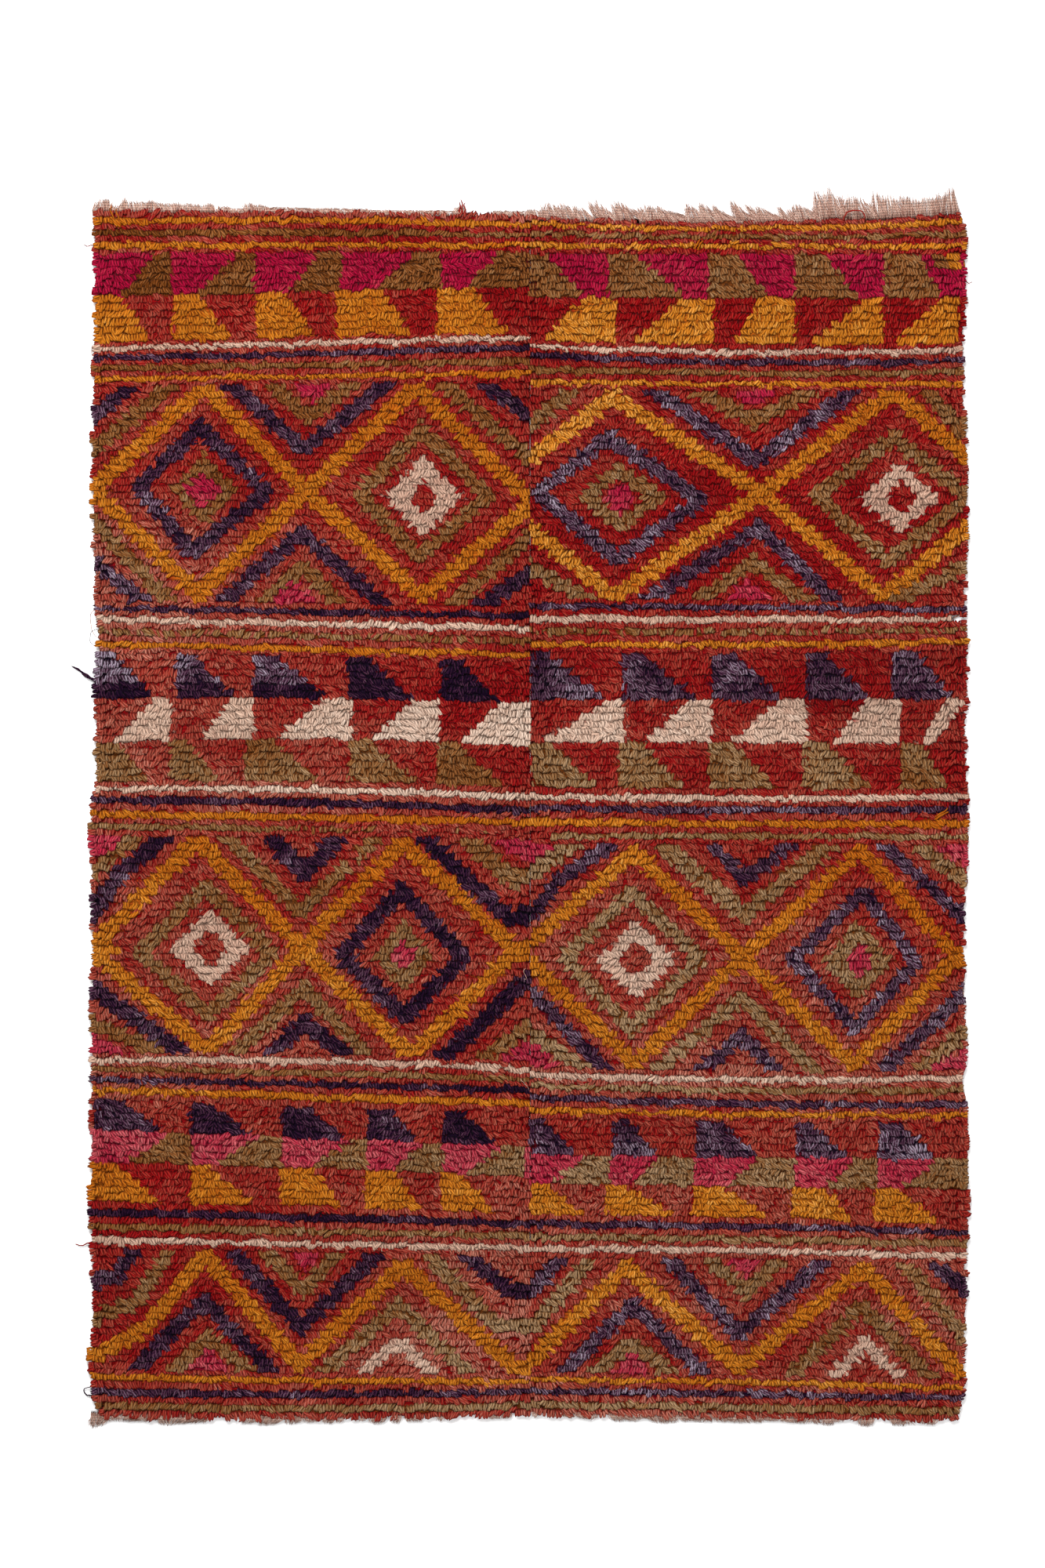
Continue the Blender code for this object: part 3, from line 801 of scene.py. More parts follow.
# Each new lot of wool took the dye a little differently: row, then the dye at the outer and inner half of
# the left panel and the inner and outer half of the right one. Between these rows it drifts.
dyeLots = {
    "red": [
        (0, (0.55, 0.60, 0.60, 0.50)), (3, (0.45, 0.35, 0.40, 0.40)), (15, (0.35, 0.20, 0.18, 0.18)),
        (21, (0.55, 0.50, 0.40, 0.45)), (27, (0.50, 0.40, 0.40, 0.40)), (40, (0.38, 0.33, 0.32, 0.34)),
        (48, (0.60, 0.40, 0.20, 0.25)), (56, (0.68, 0.35, 0.25, 0.35)), (64, (0.70, 0.50, 0.50, 0.50)),
        (71, (0.58, 0.22, 0.30, 0.30)), (77, (0.60, 0.40, 0.35, 0.38)), (83, (0.62, 0.38, 0.28, 0.28)),
        (88, (0.68, 0.60, 0.50, 0.50)), (98, (0.50, 0.45, 0.42, 0.42)), (107, (0.58, 0.48, 0.68, 0.50)),
        (120, (0.60, 0.50, 0.60, 0.60)), (128, (0.75, 0.60, 0.72, 0.72)), (137, (0.50, 0.42, 0.42, 0.50)),
        (147, (0.32, 0.60, 0.65, 0.55)), (160, (0.34, 0.72, 0.55, 0.66)), (170, (0.36, 0.72, 0.45, 0.64)),
        (178, (0.50, 0.50, 0.65, 0.55)),
    ],
    "gold": [
        (15, (0.53, 0.54, 0.72, 0.68)), (33, (0.50, 0.42, 0.72, 0.50)), (50, (0.54, 0.52, 0.72, 0.66)),
        (100, (0.48, 0.38, 0.58, 0.36)), (117, (0.62, 0.62, 0.56, 0.55)), (137, (0.62, 0.58, 0.62, 0.62)),
        (147, (0.50, 0.60, 0.64, 0.64)), (165, (0.50, 0.54, 0.62, 0.62)),
    ],
    "khaki": [
        (9, (0.10, 0.26, 0.42, 0.36)), (24, (0.25, 0.30, 0.45, 0.40)), (45, (0.42, 0.38, 0.54, 0.54)),
        (83, (0.54, 0.42, 0.62, 0.56)), (110, (0.54, 0.50, 0.84, 0.62)), (142, (0.42, 0.60, 0.76, 0.60)),
        (165, (0.52, 0.68, 0.68, 0.58)),
    ],
    "indigo": [
        (22, (0.35, 0.30, 0.40, 0.35)), (35, (0.27, 0.30, 0.58, 0.56)), (50, (0.38, 0.34, 0.50, 0.54)),
        (70, (0.45, 0.08, 0.44, 0.52)), (89, (0.20, 0.20, 0.40, 0.40)), (103, (0.34, 0.16, 0.36, 0.44)),
        (115, (0.24, 0.14, 0.36, 0.46)), (137, (0.38, 0.18, 0.40, 0.52)), (151, (0.22, 0.22, 0.40, 0.40)),
        (165, (0.28, 0.22, 0.50, 0.50)),
    ],
    "cream": [
        (20, (0.58, 0.56, 0.55, 0.55)), (50, (0.55, 0.52, 0.55, 0.55)), (76, (0.72, 0.86, 0.68, 0.62)),
        (110, (0.58, 0.56, 0.68, 0.60)), (127, (0.62, 0.58, 0.60, 0.60)),
    ],
    "pink": [
        (12, (0.28, 0.32, 0.34, 0.36)), (30, (0.50, 0.50, 0.50, 0.50)), (142, (0.72, 0.70, 0.64, 0.66)),
    ],
}
dyeSpread = {  # how much the dye drifts along a row, streaks, and changes from loop to loop
    "red": (0.11, 0.13, 0.08), "gold": (0.09, 0.10, 0.07), "khaki": (0.12, 0.12, 0.09),
    "indigo": (0.08, 0.10, 0.11), "cream": (0.08, 0.08, 0.05), "pink": (0.09, 0.10, 0.08),
}
dyeSizes = {"drift": 160, "streak": 22, "cloud": 26}
dyeClouds = {"indigo": 0.22}   # how much a yarn's dye also varies over a few loops
# Places dyed lighter or darker than their lot: side, yarn, rows, from and to across, how much.
dyePatches = [
    ("left", "indigo", (68, 71), -600, -280, 0.20),
    ("left", "indigo", (72, 73), -600, -280, -0.34),
    ("left", "indigo", (68, 73), -280, -130, -0.20),
    ("left", "indigo", (68, 73), -130, 5, -0.10),
    ("left", "indigo", (46, 58), -420, -190, -0.16),
    ("left", "indigo", (60, 60), -600, 5, -0.12),
    ("left", "indigo", (135, 139), -600, 5, -0.04),
    ("right", "indigo", (135, 137), 0, 330, -0.10),
    ("right", "indigo", (138, 139), 0, 600, 0.08),
]


def dyeOf(side, yarn, row, column, across, down, rng):
    lots = dyeLots[yarn]
    keys = [lot[0] for lot in lots]
    outerQuarter, innerQuarter = (0, 1) if side == "left" else (3, 2)
    outer = np.interp(row, keys, [lot[1][outerQuarter] for lot in lots])
    inner = np.interp(row, keys, [lot[1][innerQuarter] for lot in lots])
    half = panelWidth / 2
    dye = inner + (outer - inner) * np.clip((abs(across) - half / 2) / half, -0.15, 1.15)
    for patchSide, patchYarn, rows, start, end, change in dyePatches:
        if (patchSide, patchYarn) == (side, yarn):
            dye = dye + change * inPatch(row, across, rows, start, end)
    drift, streak, single = dyeSpread[yarn]
    dye = dye + drift * softNoise(across, row * 37.0, dyeSizes["drift"], 21)
    dye = dye + streak * softNoise(across, down * 3, dyeSizes["streak"], 22)
    if yarn in dyeClouds:
        dye = dye + dyeClouds[yarn] * softNoise(across, down, dyeSizes["cloud"], 24)
    return dye + single * (0.5 * knotNoise(row, column, rng) + 0.7 * rng.normal(0, 1, row.shape))


def layPile(side):
    # every loop of a panel: where it is, from where to where it runs, how high it lies and what yarn it is
    rng = np.random.default_rng(3 + sides[side])
    row, column = np.meshgrid(np.arange(pile["rows"]), np.arange(pile["loopsAcross"]), indexing="ij")
    row, column = row.ravel().astype(float), column.ravel()
    count = len(row)
    down = rowDown(side, row, np.full(count, sides[side] * panelWidth * 0.5))
    for again in range(2):    # the edges depend on how far down a row is, and that on the place across
        start, end = insetEdges(side, down, pile["outerInset"], pile["seamInset"])
        shifted = column + 0.5 + pile["spacing"] * softNoise(row * 50, row * 50, 50, 31)
        across = start + shifted / pile["loopsAcross"] * (end - start)
        down = (creaseDown(side, row - 0.5, across) + creaseDown(side, row + 0.5, across)) / 2
    single, knot = pile["nudge"]
    across = across + rng.normal(0, single, count) + knot * knotNoise(row, column, rng)
    lean = leanOf(row, column, across, down, rng)

    # towards the outer edge the loops turn outwards; at the seam they lie straight
    outward = sides[side]
    outer, inner = edgesAt(side, np.clip(down, *edgeSpan))[::-outward]
    outer, inner = outward * outer, outward * inner
    atEdge = np.clip(1 - (outer - outward * across) / pile["edgeZone"], 0, 1)
    atSeam = np.clip(1 - (outward * across - inner) / pile["edgeZone"], 0, 1)
    lean = lean * (1 - atEdge) * (1 - atSeam) + outward * atEdge * pile["edgeLean"]
    play = pile["edgePlay"]
    rootX, endX = outward * (across - lean / 2), outward * (across + lean / 2)
    rootX = outward * np.clip(rootX, inner - play, outer - play)
    endX = outward * np.clip(endX, inner - rng.uniform(*pile["seamReach"], count), outer + play)
    overlap = pile["overlap"] + pile["knotWander"] * knotNoise(row, column, rng)
    overlap = overlap + rng.normal(0, pile["loopWander"], count)
    shift = pile["knotShift"] * knotNoise(row, column, rng)
    roots = rootX, creaseDown(side, row - 0.5, rootX) - pile["rootsAbove"] + shift
    ends = endX, creaseDown(side, row + 0.5, endX) - pile["endsAbove"] + overlap + shift
    lift = pile["lift"][0] * knotNoise(row, column, rng) + rng.normal(0, pile["lift"][1], count)
    chart = yarnChart(side, row, across, down, rng.random(count))

    # the loops that end each row
    endRow, place = np.meshgrid(np.arange(pile["rows"]), endLoops["places"], indexing="ij")
    reach = rng.choice(endLoops[side], endRow.shape[0])[endRow].ravel()
    endRow, place = endRow.ravel().astype(float), place.ravel()
    endColumn = np.full(len(endRow), 0 if side == "left" else pile["loopsAcross"] - 1)
    rim = edgesAt(side, rowDown(side, endRow, outward * panelWidth))[0 if side == "left" else 1]
    endDown = rowDown(side, endRow, rim)
    wander = rng.normal(0, endLoops["scatter"], (4, len(endRow)))
    inside, varies = endLoops["inside"]
    rootFan, endFan = endLoops["fan"]
    endRoots = rim - outward * (inside + varies * wander[0]), endDown + place * rootFan + wander[1]
    endEnds = rim + outward * (reach + wander[2]), endDown + place * endFan + wander[3]
    endAcross = rim - outward * endLoops["middle"]
    endChart = yarnChart(side, endRow, endAcross, endDown, np.full(len(endRow), 0.9))
    endLift = rng.normal(*endLoops["lift"], len(endRow))

    def joined(loops, more):
        return np.concatenate([loops, more])

    return (
        rng, joined(row, endRow), joined(column, endColumn),
        joined(across, endAcross), joined(down, endDown),
        [joined(*pair) for pair in zip(roots, endRoots)],
        [joined(*pair) for pair in zip(ends, endEnds)],
        joined(lift, endLift), joined(chart, endChart),
    )


# A loop is laid through these points: share of its length, height in mm, and how light it is painted:
# painted shade at its root and end, where the rows crease, and painted light over its crown.
loopShape = [(0.0, 7.0, 0.30), (0.36, 8.6, 0.80), (0.80, 9.2, 0.95), (1.0, 8.0, 0.58)]


def loopPaths(row, column, roots, ends, lift, rng):
    # an arch of yarn: out of the ground, over the crown and down at the next row
    count = len(column)
    apart, together, scatter = pile["bow"]
    bow = apart * np.where(column % 2 == 0, -1, 1) + together * knotNoise(row, column, rng)
    bow = bow + rng.normal(0, scatter, count)
    sideways, upwards = pile["wobble"]
    points = []
    for share, height, light in loopShape:
        wobble = rng.normal(0, sideways, (2, count))
        points.append(toFrame(
            roots[0] + share * (ends[0] - roots[0]) + 4 * share * (1 - share) * bow + wobble[0],
            roots[1] + share * (ends[1] - roots[1]) + wobble[1],
            height + lift + rng.normal(0, upwards, count),
        ))
    return np.stack(points, axis=1)


# Places where the pile is soiled: side, rows, from and to across, and how light it still is.
worn = [
    ("right", (68, 76), 300, 610, 0.90),
    ("right", (74, 75), 372, 500, 0.80),
    ("right", (68, 69), 440, 600, 0.88),
]

# A nick in the right edge where a few loops have gone: from and to down the rug, and where it begins.
nick = {"side": "right", "downs": (558, 568), "across": 580}


def inNick(side, across, down):
    above, below = nick["downs"]
    return (side == nick["side"]) & (across > nick["across"]) & (down > above) & (down < below)


# painted light and shade on the loops
loopLight = {
    "raised": 0.14,      # painted light: how much lighter a loop is for each mm that it stands higher
    "patches": ((0.09, 22, 81), (0.08, 70, 82)),   # lighter and darker places: how much, how big, and a seed
    "roots": (0.3, 0.2),   # how much the painted shade at the roots differs from place to place and from knot to knot
    "rootSize": 6,         # how big those places are
}
dyeAlongLoop = 0.04    # how much the dye varies along one loop


def makePile(side):
    rng, row, column, across, down, roots, ends, lift, chart = layPile(side)
    parts = []
    for number, yarn in enumerate(yarns):
        halves = [("", row > -1)]
        if yarn == "red":
            halves = [("head", row < halfwayRow), ("foot", row > halfwayRow)]
        for half, inHalf in halves:
            chosen = (chart == number) & inHalf & ~inNick(side, across, down)
            x, y, r = across[chosen], down[chosen], row[chosen]
            count = len(x)
            raised = lift[chosen] + (pile["proud"] if yarn != "red" else 0)
            run = [(atAcross[chosen], atDown[chosen]) for atAcross, atDown in (roots, ends)]
            paths = loopPaths(r, column[chosen], *run, raised, rng)
            uneven = 1 + rng.normal(0, pile["radiusScatter"], (count, 1))
            radii = pile["yarnRadius"] * uneven * np.ones((1, len(loopShape)))
            dye = dyeOf(side, yarn, r, column[chosen], x, y, rng)[:, None]
            dye = dye + rng.normal(0, dyeAlongLoop, (count, len(loopShape)))
            # painted light along each loop: painted shade at its root and end, lighter where a loop stands
            # higher
            paintedLight = np.array([light for _, _, light in loopShape])
            paintedLight = paintedLight * (1 + loopLight["raised"] * raised[:, None])
            patches = sum(much * softNoise(x, y, size, seed) for much, size, seed in loopLight["patches"])
            paintedLight *= 1 + patches[:, None]
            for wornSide, rows, start, end, darker in worn:
                if wornSide == side:
                    paintedLight[inPatch(r, x, rows, start, end)] *= darker
            byPlace, byKnot = loopLight["roots"]
            paintedLight[:, 0] += byPlace * softNoise(x, y, loopLight["rootSize"], 71)
            paintedLight[:, 0] += byKnot * knotNoise(r, column[chosen], rng)
            name = "_".join(filter(None, ["pile", side, yarn, half]))
            piece = makeStrands(name, paths, radii / 1000, dye, paintedLight, wool[yarn], pile["press"])
            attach(piece, "root")
            parts.append(piece)
            print(name, "has", count, "loops")
    return parts


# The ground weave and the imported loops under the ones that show.
mat = {
    "columns": 44,
    "rowHeight": 7.5,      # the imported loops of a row, under the ones that show
    "creaseHeight": 7.4,   # between two rows
    "edgeHeight": 2.2,     # at the head and foot ends
    "bumps": (0.5, 7),     # how high and how big
    "outerInset": 2.2,
    "seamInset": 0.2,
    "rimDrop": 0.4,        # how far it drops towards both long edges, as a share of its height
    "rimPart": 14,         # and over what part of its width: a fourteenth
    "shade": 0.9,          # painted shade, against a deep dye of the loops above
    # painted shade on the underside, against the top
    "undersideShade": 0.3,
    "deepStop": {"cream": 2, "gold": 1},   # which of a yarn's dyes that is, from 0; the first for the rest
}


def makeMat(side):
    # one closed cloth, creased between the rows
    last = pile["rows"] - 0.5
    lines = np.arange(-0.5, last + 0.1, 0.5)
    shareX, row = np.meshgrid(np.linspace(0, 1, mat["columns"]), lines)
    crease = np.abs(row % 1 - 0.5) < 0.1
    guess = (shareX - (1 if side == "left" else 0)) * panelWidth
    start, end = insetEdges(side, rowDown(side, row, guess), mat["outerInset"], mat["seamInset"])
    across = start + shareX * (end - start)
    creaseAbove, creaseBelow = np.ceil(row - 0.1) - 0.5, np.floor(row + 0.1) + 0.5
    down = (creaseDown(side, creaseAbove, across) + creaseDown(side, creaseBelow, across)) / 2
    down = np.where(row < 0, down + 3, np.where(row > last - 0.1, down - 2, down))
    across = np.where(inNick(side, across, down), nick["across"] + shareX, across)
    rim = np.minimum(np.minimum(shareX, 1 - shareX) * mat["rimPart"], 1)
    bumpHeight, bumpSize = mat["bumps"]
    height = np.where(crease, mat["creaseHeight"], mat["rowHeight"])
    height = height * (1 - mat["rimDrop"] + mat["rimDrop"] * rim)
    height = height + bumpHeight * softNoise(across, down, bumpSize, 42)
    height = np.where((row < 0) | (row > last - 0.1), mat["edgeHeight"], height)
    upper = toFrame(across, down, height).reshape(-1, 3)
    grid = np.arange(len(upper)).reshape(across.shape)
    quads = np.stack([grid[:-1, :-1], grid[1:, :-1], grid[1:, 1:], grid[:-1, 1:]], axis=-1).reshape(-1, 4)

    # the underside needs only the rim: walls down to it and strips across it
    rimLoop = np.concatenate([grid[0, :], grid[1:, -1], grid[-1, -2::-1], grid[-2:0:-1, 0]])
    lower = upper[rimLoop] * (1, 1, 0) + (0, 0, 0.00005)
    under = {int(above): len(upper) + i for i, above in enumerate(rimLoop)}
    walls = np.array([(a, b, under[int(b)], under[int(a)]) for a, b in zip(rimLoop, np.roll(rimLoop, -1))])
    left = [under[int(v)] for v in grid[:, 0]]
    right = [under[int(v)] for v in grid[:, -1]]
    strips = np.array([(left[k], right[k], right[k + 1], left[k + 1]) for k in range(1, len(left) - 2)])
    headStrip = np.array([[under[int(v)] for v in grid[0, :]] + [right[1], left[1]]])
    footStrip = np.array([[under[int(v)] for v in grid[-1, ::-1]] + [left[-2], right[-2]]])

    wholeRow = np.floor(row.ravel() + 0.01)
    chart = yarnChart(side, wholeRow, across.ravel(), down.ravel(), np.full(row.size, 0.5))
    # the cloth is painted in shade: a deep dye of the loops above, darker still on the underside
    deepDyes = np.array([woolDyes[yarn][mat["deepStop"].get(yarn, 0)][1] for yarn in yarns])
    paintedShades = deepDyes[chart] * mat["shade"]
    colours = np.concatenate([paintedShades, mat["undersideShade"] * paintedShades[rimLoop]])
    colours = np.concatenate([colours, np.ones((len(colours), 1))], axis=1)
    piece = meshPiece(
        "ground_" + side, np.concatenate([upper, lower]),
        [quads, walls, strips, headStrip, footStrip], groundWeave,
    )
    made = piece.data.color_attributes.new("rootShade", "FLOAT_COLOR", "POINT")
    made.data.foreach_set("color", colours.astype(np.float32).ravel())
    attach(piece, "root")
    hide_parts("panel_" + side)
    return piece


# The warp ends beyond the pile.
warpEnds = {
    "radius": 0.5,
    "thickness": (0.6, 1.3),     # the thinnest and thickest ends against that
    "taper": (1.05, 0.6),        # how thick an end is where it starts, and how much of that it loses
    "perMillimetre": 3.6,
    "headReach": 1.25,     # the ends at the head stand out a little further than the tufts say
    "steps": 5,
    "rootInside": 7,       # how far under the pile they start
    "clump": 13,           # the ends are combed into clumps about this wide
    "splay": 1.5,          # and a clump spreads this much wider than its own part of the edge
    "gather": 0.45,        # how far the ends of a clump come together at its tip
    "clumpReach": (0.85, 1.2),   # how much the clumps of a tuft differ in length
    "shortest": 0.5,       # the shortest ends of a clump, against its longest
    "leanScatter": 2.2,
    "bend": 1.3,           # how far an end bends to one side, and how far it wanders at each step
    "wander": 0.2,
    "beyond": (-7, -3, 1, 6, 14, 40),           # how high the ends lie, by how far beyond the pile they are
    "heights": (5.0, 8.2, 8.0, 4.6, 2.4, 1.2),
    "heightScatter": 1.4,
    "dye": 0.40,
    "dyeScatter": (0.2, 0.04),   # between two ends and along one
    "light": (0.1, 1.8),   # painted shade: how light an end is where it starts under the pile, and how much lighter it gets, up to 1
}
# Tufts of each end: from and to across, how far they reach beyond the pile, and how far they lean sideways.
tufts = {
    "top_left": [
        (-599, -579, 16, 1), (-576, -565, 8, 0), (-565, -557, 15, 2), (-555, -480, 12, -3),
        (-475, -450, 11, -4), (-447, -435, 9, -2), (-428, -414, 8, -2), (-414, -392, 4, -2),
        (-392, -379, 11, -2), (-377, -360, 9, -3), (-360, -221, 5, -5), (-221, -104, 3, -3),
        (-104, -91, 9, 2), (-52, -1, 5, 2),
    ],
    "top_right": [
        (-2, 23, 13, -2), (23, 62, 18, -8), (62, 86, 17, -9), (90, 158, 21, -13),
        (158, 222, 20, -14), (220, 240, 21, -8), (240, 264, 21, -11), (262, 352, 20, -16),
        (350, 362, 18, -12), (361, 400, 25, -9), (398, 435, 34, -8), (433, 476, 31, -6),
        (474, 518, 33, -5), (515, 526, 31, 1), (526, 560, 27, -3), (556, 588, 33, 0),
    ],
    "bottom_left": [
        (-604, -583, 19, -6), (-581, -525, 9, -4), (-522, -504, 7, -3), (-504, -441, 11, -8),
        (-393, -376, 10, -4), (-368, -343, 12, -7), (-333, -316, 9, -3), (-309, -295, 8, -2),
        (-284, -270, 10, -2), (-266, -258, 7, 0), (-241, -229, 7, 0), (-218, -200, 9, -2),
        (-188, -179, 11, -1), (-168, -150, 8, 1), (-125, -119, 7, 0), (-55, -30, 6, 1),
    ],
    "bottom_right": [
        (4, 9, 6, 0), (30, 60, 5, 2), (64, 89, 7, 2), (112, 150, 11, 3),
        (150, 168, 6, 2), (164, 200, 11, 3), (206, 250, 10, 4), (254, 310, 9, 3),
        (312, 345, 7, 1), (345, 382, 8, 3), (390, 415, 10, 2), (420, 431, 6, 0),
        (455, 471, 11, 0), (500, 523, 9, 1), (536, 558, 7, 0),
    ],
}


def makeWarpEnds(name):
    atHead, side = name.startswith("top"), name.split("_")[1]
    rng = np.random.default_rng(sum(map(ord, name)))
    hairs = []
    for start, end, reach, lean in tufts[name]:
        clumps = max(1, round((end - start) / warpEnds["clump"]))
        borders = np.sort(rng.uniform(start, end, clumps - 1))
        borders = [start, *borders, end]
        for low, high in zip(borders, borders[1:]):
            number = max(5, round((high - low) * warpEnds["perMillimetre"]))
            place = rng.uniform(-1, 1, number)
            longest = reach * rng.uniform(*warpEnds["clumpReach"]) * (warpEnds["headReach"] if atHead else 1)
            shortest = warpEnds["shortest"]
            far = longest * (shortest + (1 - shortest) * rng.uniform(0, 1, number) ** 0.8)
            far = far * (1 - 0.12 * place ** 2)    # a clump has a round tip, longer on the side it leans to
            far = far * (1 + np.clip(lean / 40, -0.4, 0.4) * place)
            half = (high - low) / 2 * warpEnds["splay"]
            sideways = lean + rng.normal(0, warpEnds["leanScatter"], number)
            sideways = sideways - half * place * warpEnds["gather"]
            hairs.append(np.stack([(low + high) / 2 + half * place, far, sideways]))
    start, reach, lean = np.concatenate(hairs, axis=1)
    count, steps = len(start), warpEnds["steps"]
    out = -1 if atHead else 1
    edge = rowDown(side, np.full(count, -0.5 if atHead else pile["rows"] - 0.5), start)
    share = np.linspace(0, 1, steps)[None, :]
    inside = warpEnds["rootInside"]
    beyond = -inside + share * (reach[:, None] + inside)
    passed = np.clip(beyond / reach[:, None], 0, 1)
    curl = rng.normal(0, 1, (count, 1)) * share ** 2 * warpEnds["bend"]
    curl = curl + np.cumsum(rng.normal(0, warpEnds["wander"], (count, steps)), axis=1)
    across = start[:, None] + lean[:, None] * passed ** 1.3 + curl
    down = edge[:, None] + out * beyond
    height = np.interp(beyond, warpEnds["beyond"], warpEnds["heights"])
    scatter = warpEnds["heightScatter"]
    height = np.maximum(height + rng.uniform(-scatter, scatter, (count, 1)), 0.6)
    paths = toFrame(across, down, height)
    thick, lost = warpEnds["taper"]
    radii = warpEnds["radius"] * rng.uniform(*warpEnds["thickness"], (count, 1))
    radii = radii * (thick - lost * share ** 2) / 1000
    between, along = warpEnds["dyeScatter"]
    dye = warpEnds["dye"] + rng.normal(0, between, (count, 1)) + rng.normal(0, along, (count, steps))
    # painted shade where an end starts under the pile, lighter further out
    light, lighter = warpEnds["light"]
    paintedLight = np.broadcast_to(np.clip(light + lighter * share, 0, 1), (count, steps))
    piece = makeStrands("warp_ends_" + name, paths, radii, dye, paintedLight, wool["warp"], plyLength=0.004)
    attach(piece, "root")
    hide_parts("fringe_" + name)
    return piece


# The cord along each outer edge.
selvedge = {
    "radius": 1.5,
    "unevenness": 0.2,
    "inset": 1.6,
    "wander": 0.5,
    "height": 2.4,
    "downs": (16, 1646),   # it runs from here to here
    "steps": 170,
    "dye": 0.25,
    "dyeDrift": 0.2,
    "light": 0.8,
}
loose = {
    "steps": 14,
    "wander": 0.25,
    "taper": (1.15, 0.55),   # their thickness at the root and at the end
    "dye": {"indigo": 0.12, "rest": 0.35},
    "dyeScatter": 0.08,
    "light": 0.9,
}
# Loose yarns: side, yarn, radius, then across, down and height of the points they run through, in mm.
looseYarns = [
    ("left", "indigo", 2.2, [(-590, 655, 8), (-600, 650, 5), (-613, 640, 3), (-634, 628, 2)]),
    ("left", "indigo", 2.0, [(-590, 651, 8), (-602, 647, 6), (-612, 643, 4), (-626, 630, 2)]),
    ("left", "indigo", 0.5, [(-594, 578, 7), (-605, 582, 4), (-606, 596, 3), (-595, 603, 7)]),
    ("left", "indigo", 1.2, [(-600, 1634, 6), (-611, 1634, 3), (-615, 1626, 3), (-602, 1622, 6)]),
    ("left", "warp", 0.6, [(-592, 184, 7), (-603, 187, 4), (-604, 199, 4), (-594, 203, 7)]),
    ("left", "warp", 0.6, [(-592, 549, 7), (-605, 556, 4), (-604, 580, 4), (-594, 592, 7)]),
    ("left", "red", 1.3, [(-596, 1421, 8), (-608, 1424, 5), (-618, 1428, 3), (-628, 1426, 2)]),
    ("left", "red", 0.8, [(-596, 50, 8), (-606, 49, 5), (-611, 50, 3), (-616, 47, 2)]),
    ("left", "red", 1.3, [(-98, 6, 8), (-97, 0, 8), (-96, -5, 6), (-98, -11, 4)]),
    ("left", "red", 1.3, [(-94, 6, 8), (-94, -1, 8), (-93, -8, 6), (-96, -15, 4)]),
    ("left", "red", 1.2, [(-90, 6, 8), (-89, 0, 8), (-91, -6, 6), (-89, -10, 4)]),
    ("left", "gold", 1.3, [(-572, 16, 9), (-575, 8, 11), (-578, 1, 11), (-576, -7, 9)]),
    ("left", "gold", 1.2, [(-565, 17, 9), (-567, 10, 11), (-570, 4, 11), (-569, -2, 10)]),
    ("left", "warp", 0.5, [(-14, 1197, 11), (-7, 1205, 12), (-3, 1209, 12), (-1, 1214, 11)]),
    ("right", "warp", 0.5, [(-6, 1045, 11), (-9, 1050, 12), (-5, 1057, 12), (-8, 1063, 11)]),
    ("right", "red", 1.3, [(431, 18, 9), (437, 4, 13), (457, 3, 13), (463, 17, 9)]),
    ("right", "red", 1.2, [(596, 920, 7), (601, 921, 6), (603, 926, 4), (602, 931, 3)]),
    ("right", "red", 0.8, [(594, 101, 7), (600, 99, 5), (606, 101, 3), (611, 98, 2)]),
    ("right", "gold", 1.7, [(557, 842, 9), (563, 837, 12), (570, 833, 12), (578, 829, 9)]),
    ("right", "gold", 1.6, [(558, 838, 9), (564, 833, 12), (571, 829, 12), (577, 824, 9)]),
    ("right", "gold", 1.6, [(226, 56, 9), (229, 50, 12), (232, 45, 12), (235, 40, 10)]),
    ("right", "gold", 1.5, [(231, 57, 9), (233, 51, 12), (235, 47, 12), (239, 43, 10)]),
]


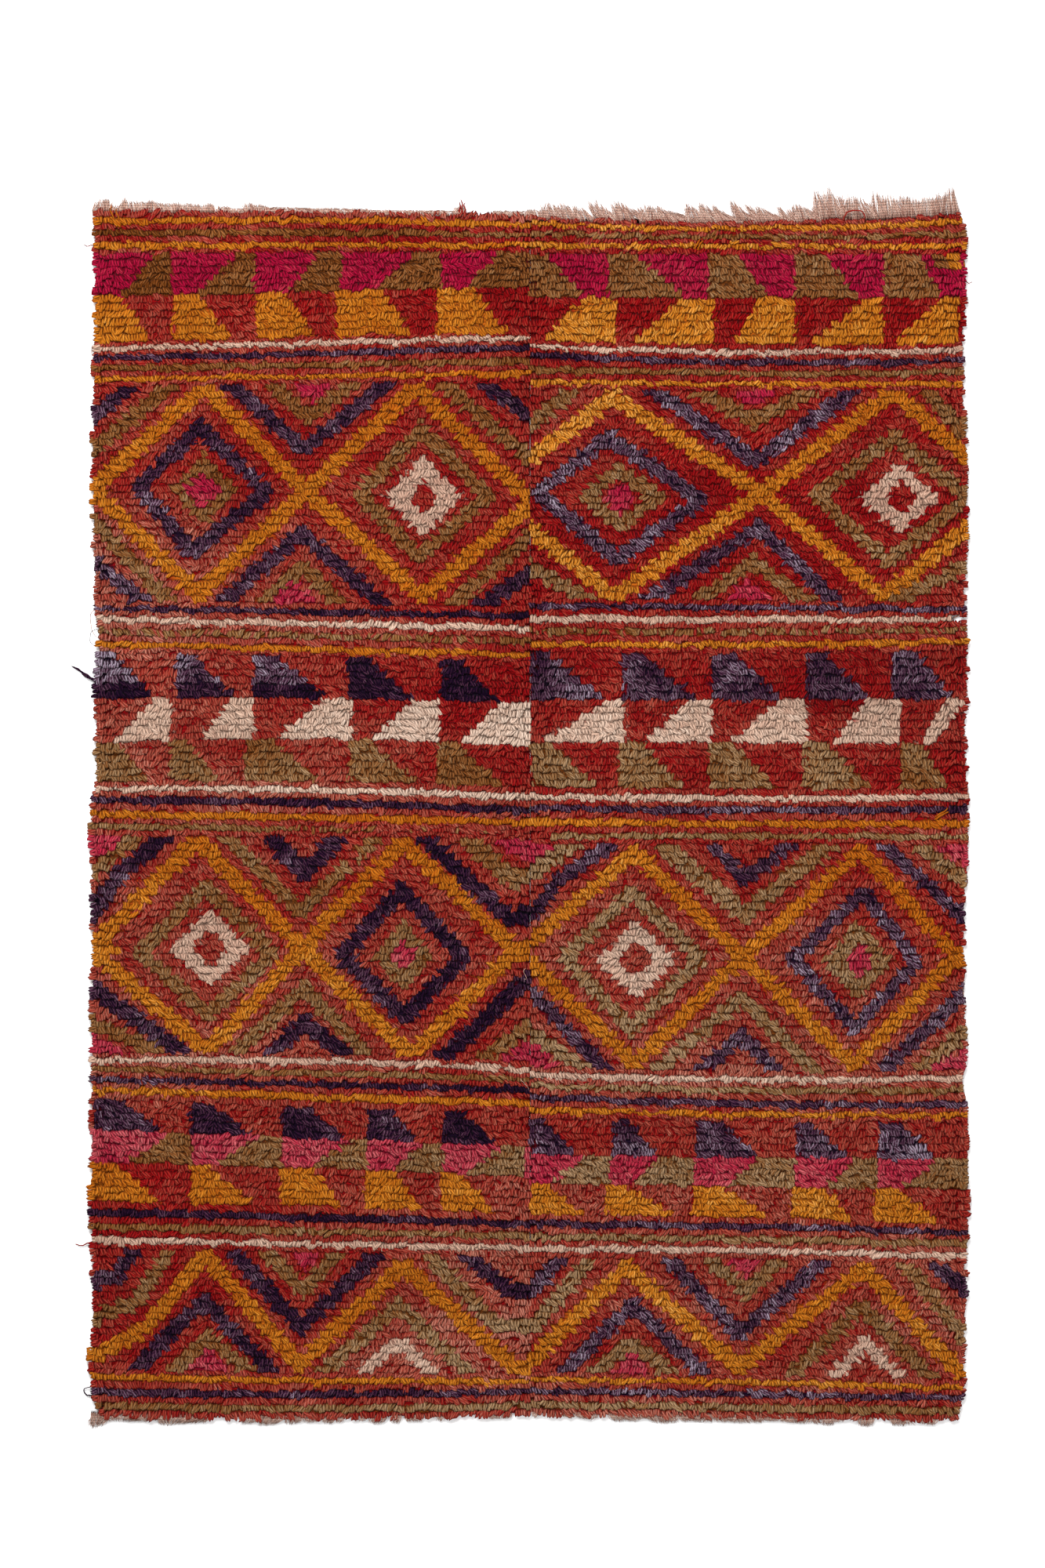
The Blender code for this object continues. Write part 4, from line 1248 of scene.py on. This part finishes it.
def smoothPath(points, steps):
    # a curve through all the points
    points = np.array(points, float)
    padded = np.concatenate([2 * points[:1] - points[1:2], points, 2 * points[-1:] - points[-2:-1]])
    place = np.linspace(0, len(points) - 1, steps)
    piece = np.minimum(place.astype(int), len(points) - 2)
    t = (place - piece)[:, None]
    a, b, c, d = (padded[piece + k] for k in range(4))
    square, cube = 2 * a - 5 * b + 4 * c - d, 3 * b - a - 3 * c + d
    return 0.5 * (2 * b + (c - a) * t + square * t ** 2 + cube * t ** 3)


def makeSelvedge(side):
    steps = selvedge["steps"]
    down = np.linspace(*selvedge["downs"], steps)
    outer = edgesAt(side, down)[0 if side == "left" else 1]
    across = outer - sides[side] * (selvedge["inset"] + selvedge["wander"] * softNoise(down, down, 8, 61))
    across = np.where(inNick(side, across, down), nick["across"] - 2, across)
    paths = toFrame(across, down, np.full(steps, selvedge["height"]))[None]
    radii = selvedge["radius"] * (1 + selvedge["unevenness"] * softNoise(down, down, 9, 62))[None] / 1000
    dye = selvedge["dye"] + selvedge["dyeDrift"] * softNoise(down, down, 40, 63)[None]
    light = np.full((1, steps), selvedge["light"])
    piece = makeStrands("selvedge_" + side, paths, radii, dye, light, wool["warp"])
    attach(piece, "root")
    return piece


def makeLooseYarns(side):
    made = []
    for yarn in sorted({entry[1] for entry in looseYarns if entry[0] == side}):
        chosen = [entry for entry in looseYarns if entry[:2] == (side, yarn)]
        rng = np.random.default_rng(len(chosen))
        curves = np.array([smoothPath(points, loose["steps"]) for _, _, _, points in chosen])
        curves = curves + rng.normal(0, loose["wander"], curves.shape) * (1, 1, 0.4)
        paths = toFrame(curves[..., 0], curves[..., 1], curves[..., 2])
        thickness = np.linspace(*loose["taper"], loose["steps"])
        radii = np.array([[entry[2]] for entry in chosen]) * thickness / 1000
        dye = loose["dye"].get(yarn, loose["dye"]["rest"]) + rng.normal(0, loose["dyeScatter"], radii.shape)
        light = np.full(radii.shape, loose["light"])
        piece = makeStrands(f"loose_{side}_{yarn}", paths, radii, dye, light, wool[yarn])
        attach(piece, "root")
        made.append(piece)
    return made


# All together: each panel is one sheet of ground cloth with its pile, warp ends, selvedge and loose yarns,
# all attached to the root body.
for side in sides:
    pileParts = makePile(side)
    groundPart = makeMat(side)
    warpParts = [makeWarpEnds(f"{end}_{side}") for end in ("top", "bottom")]
    looseParts = [makeSelvedge(side), *makeLooseYarns(side)]
    print(side, "panel done")
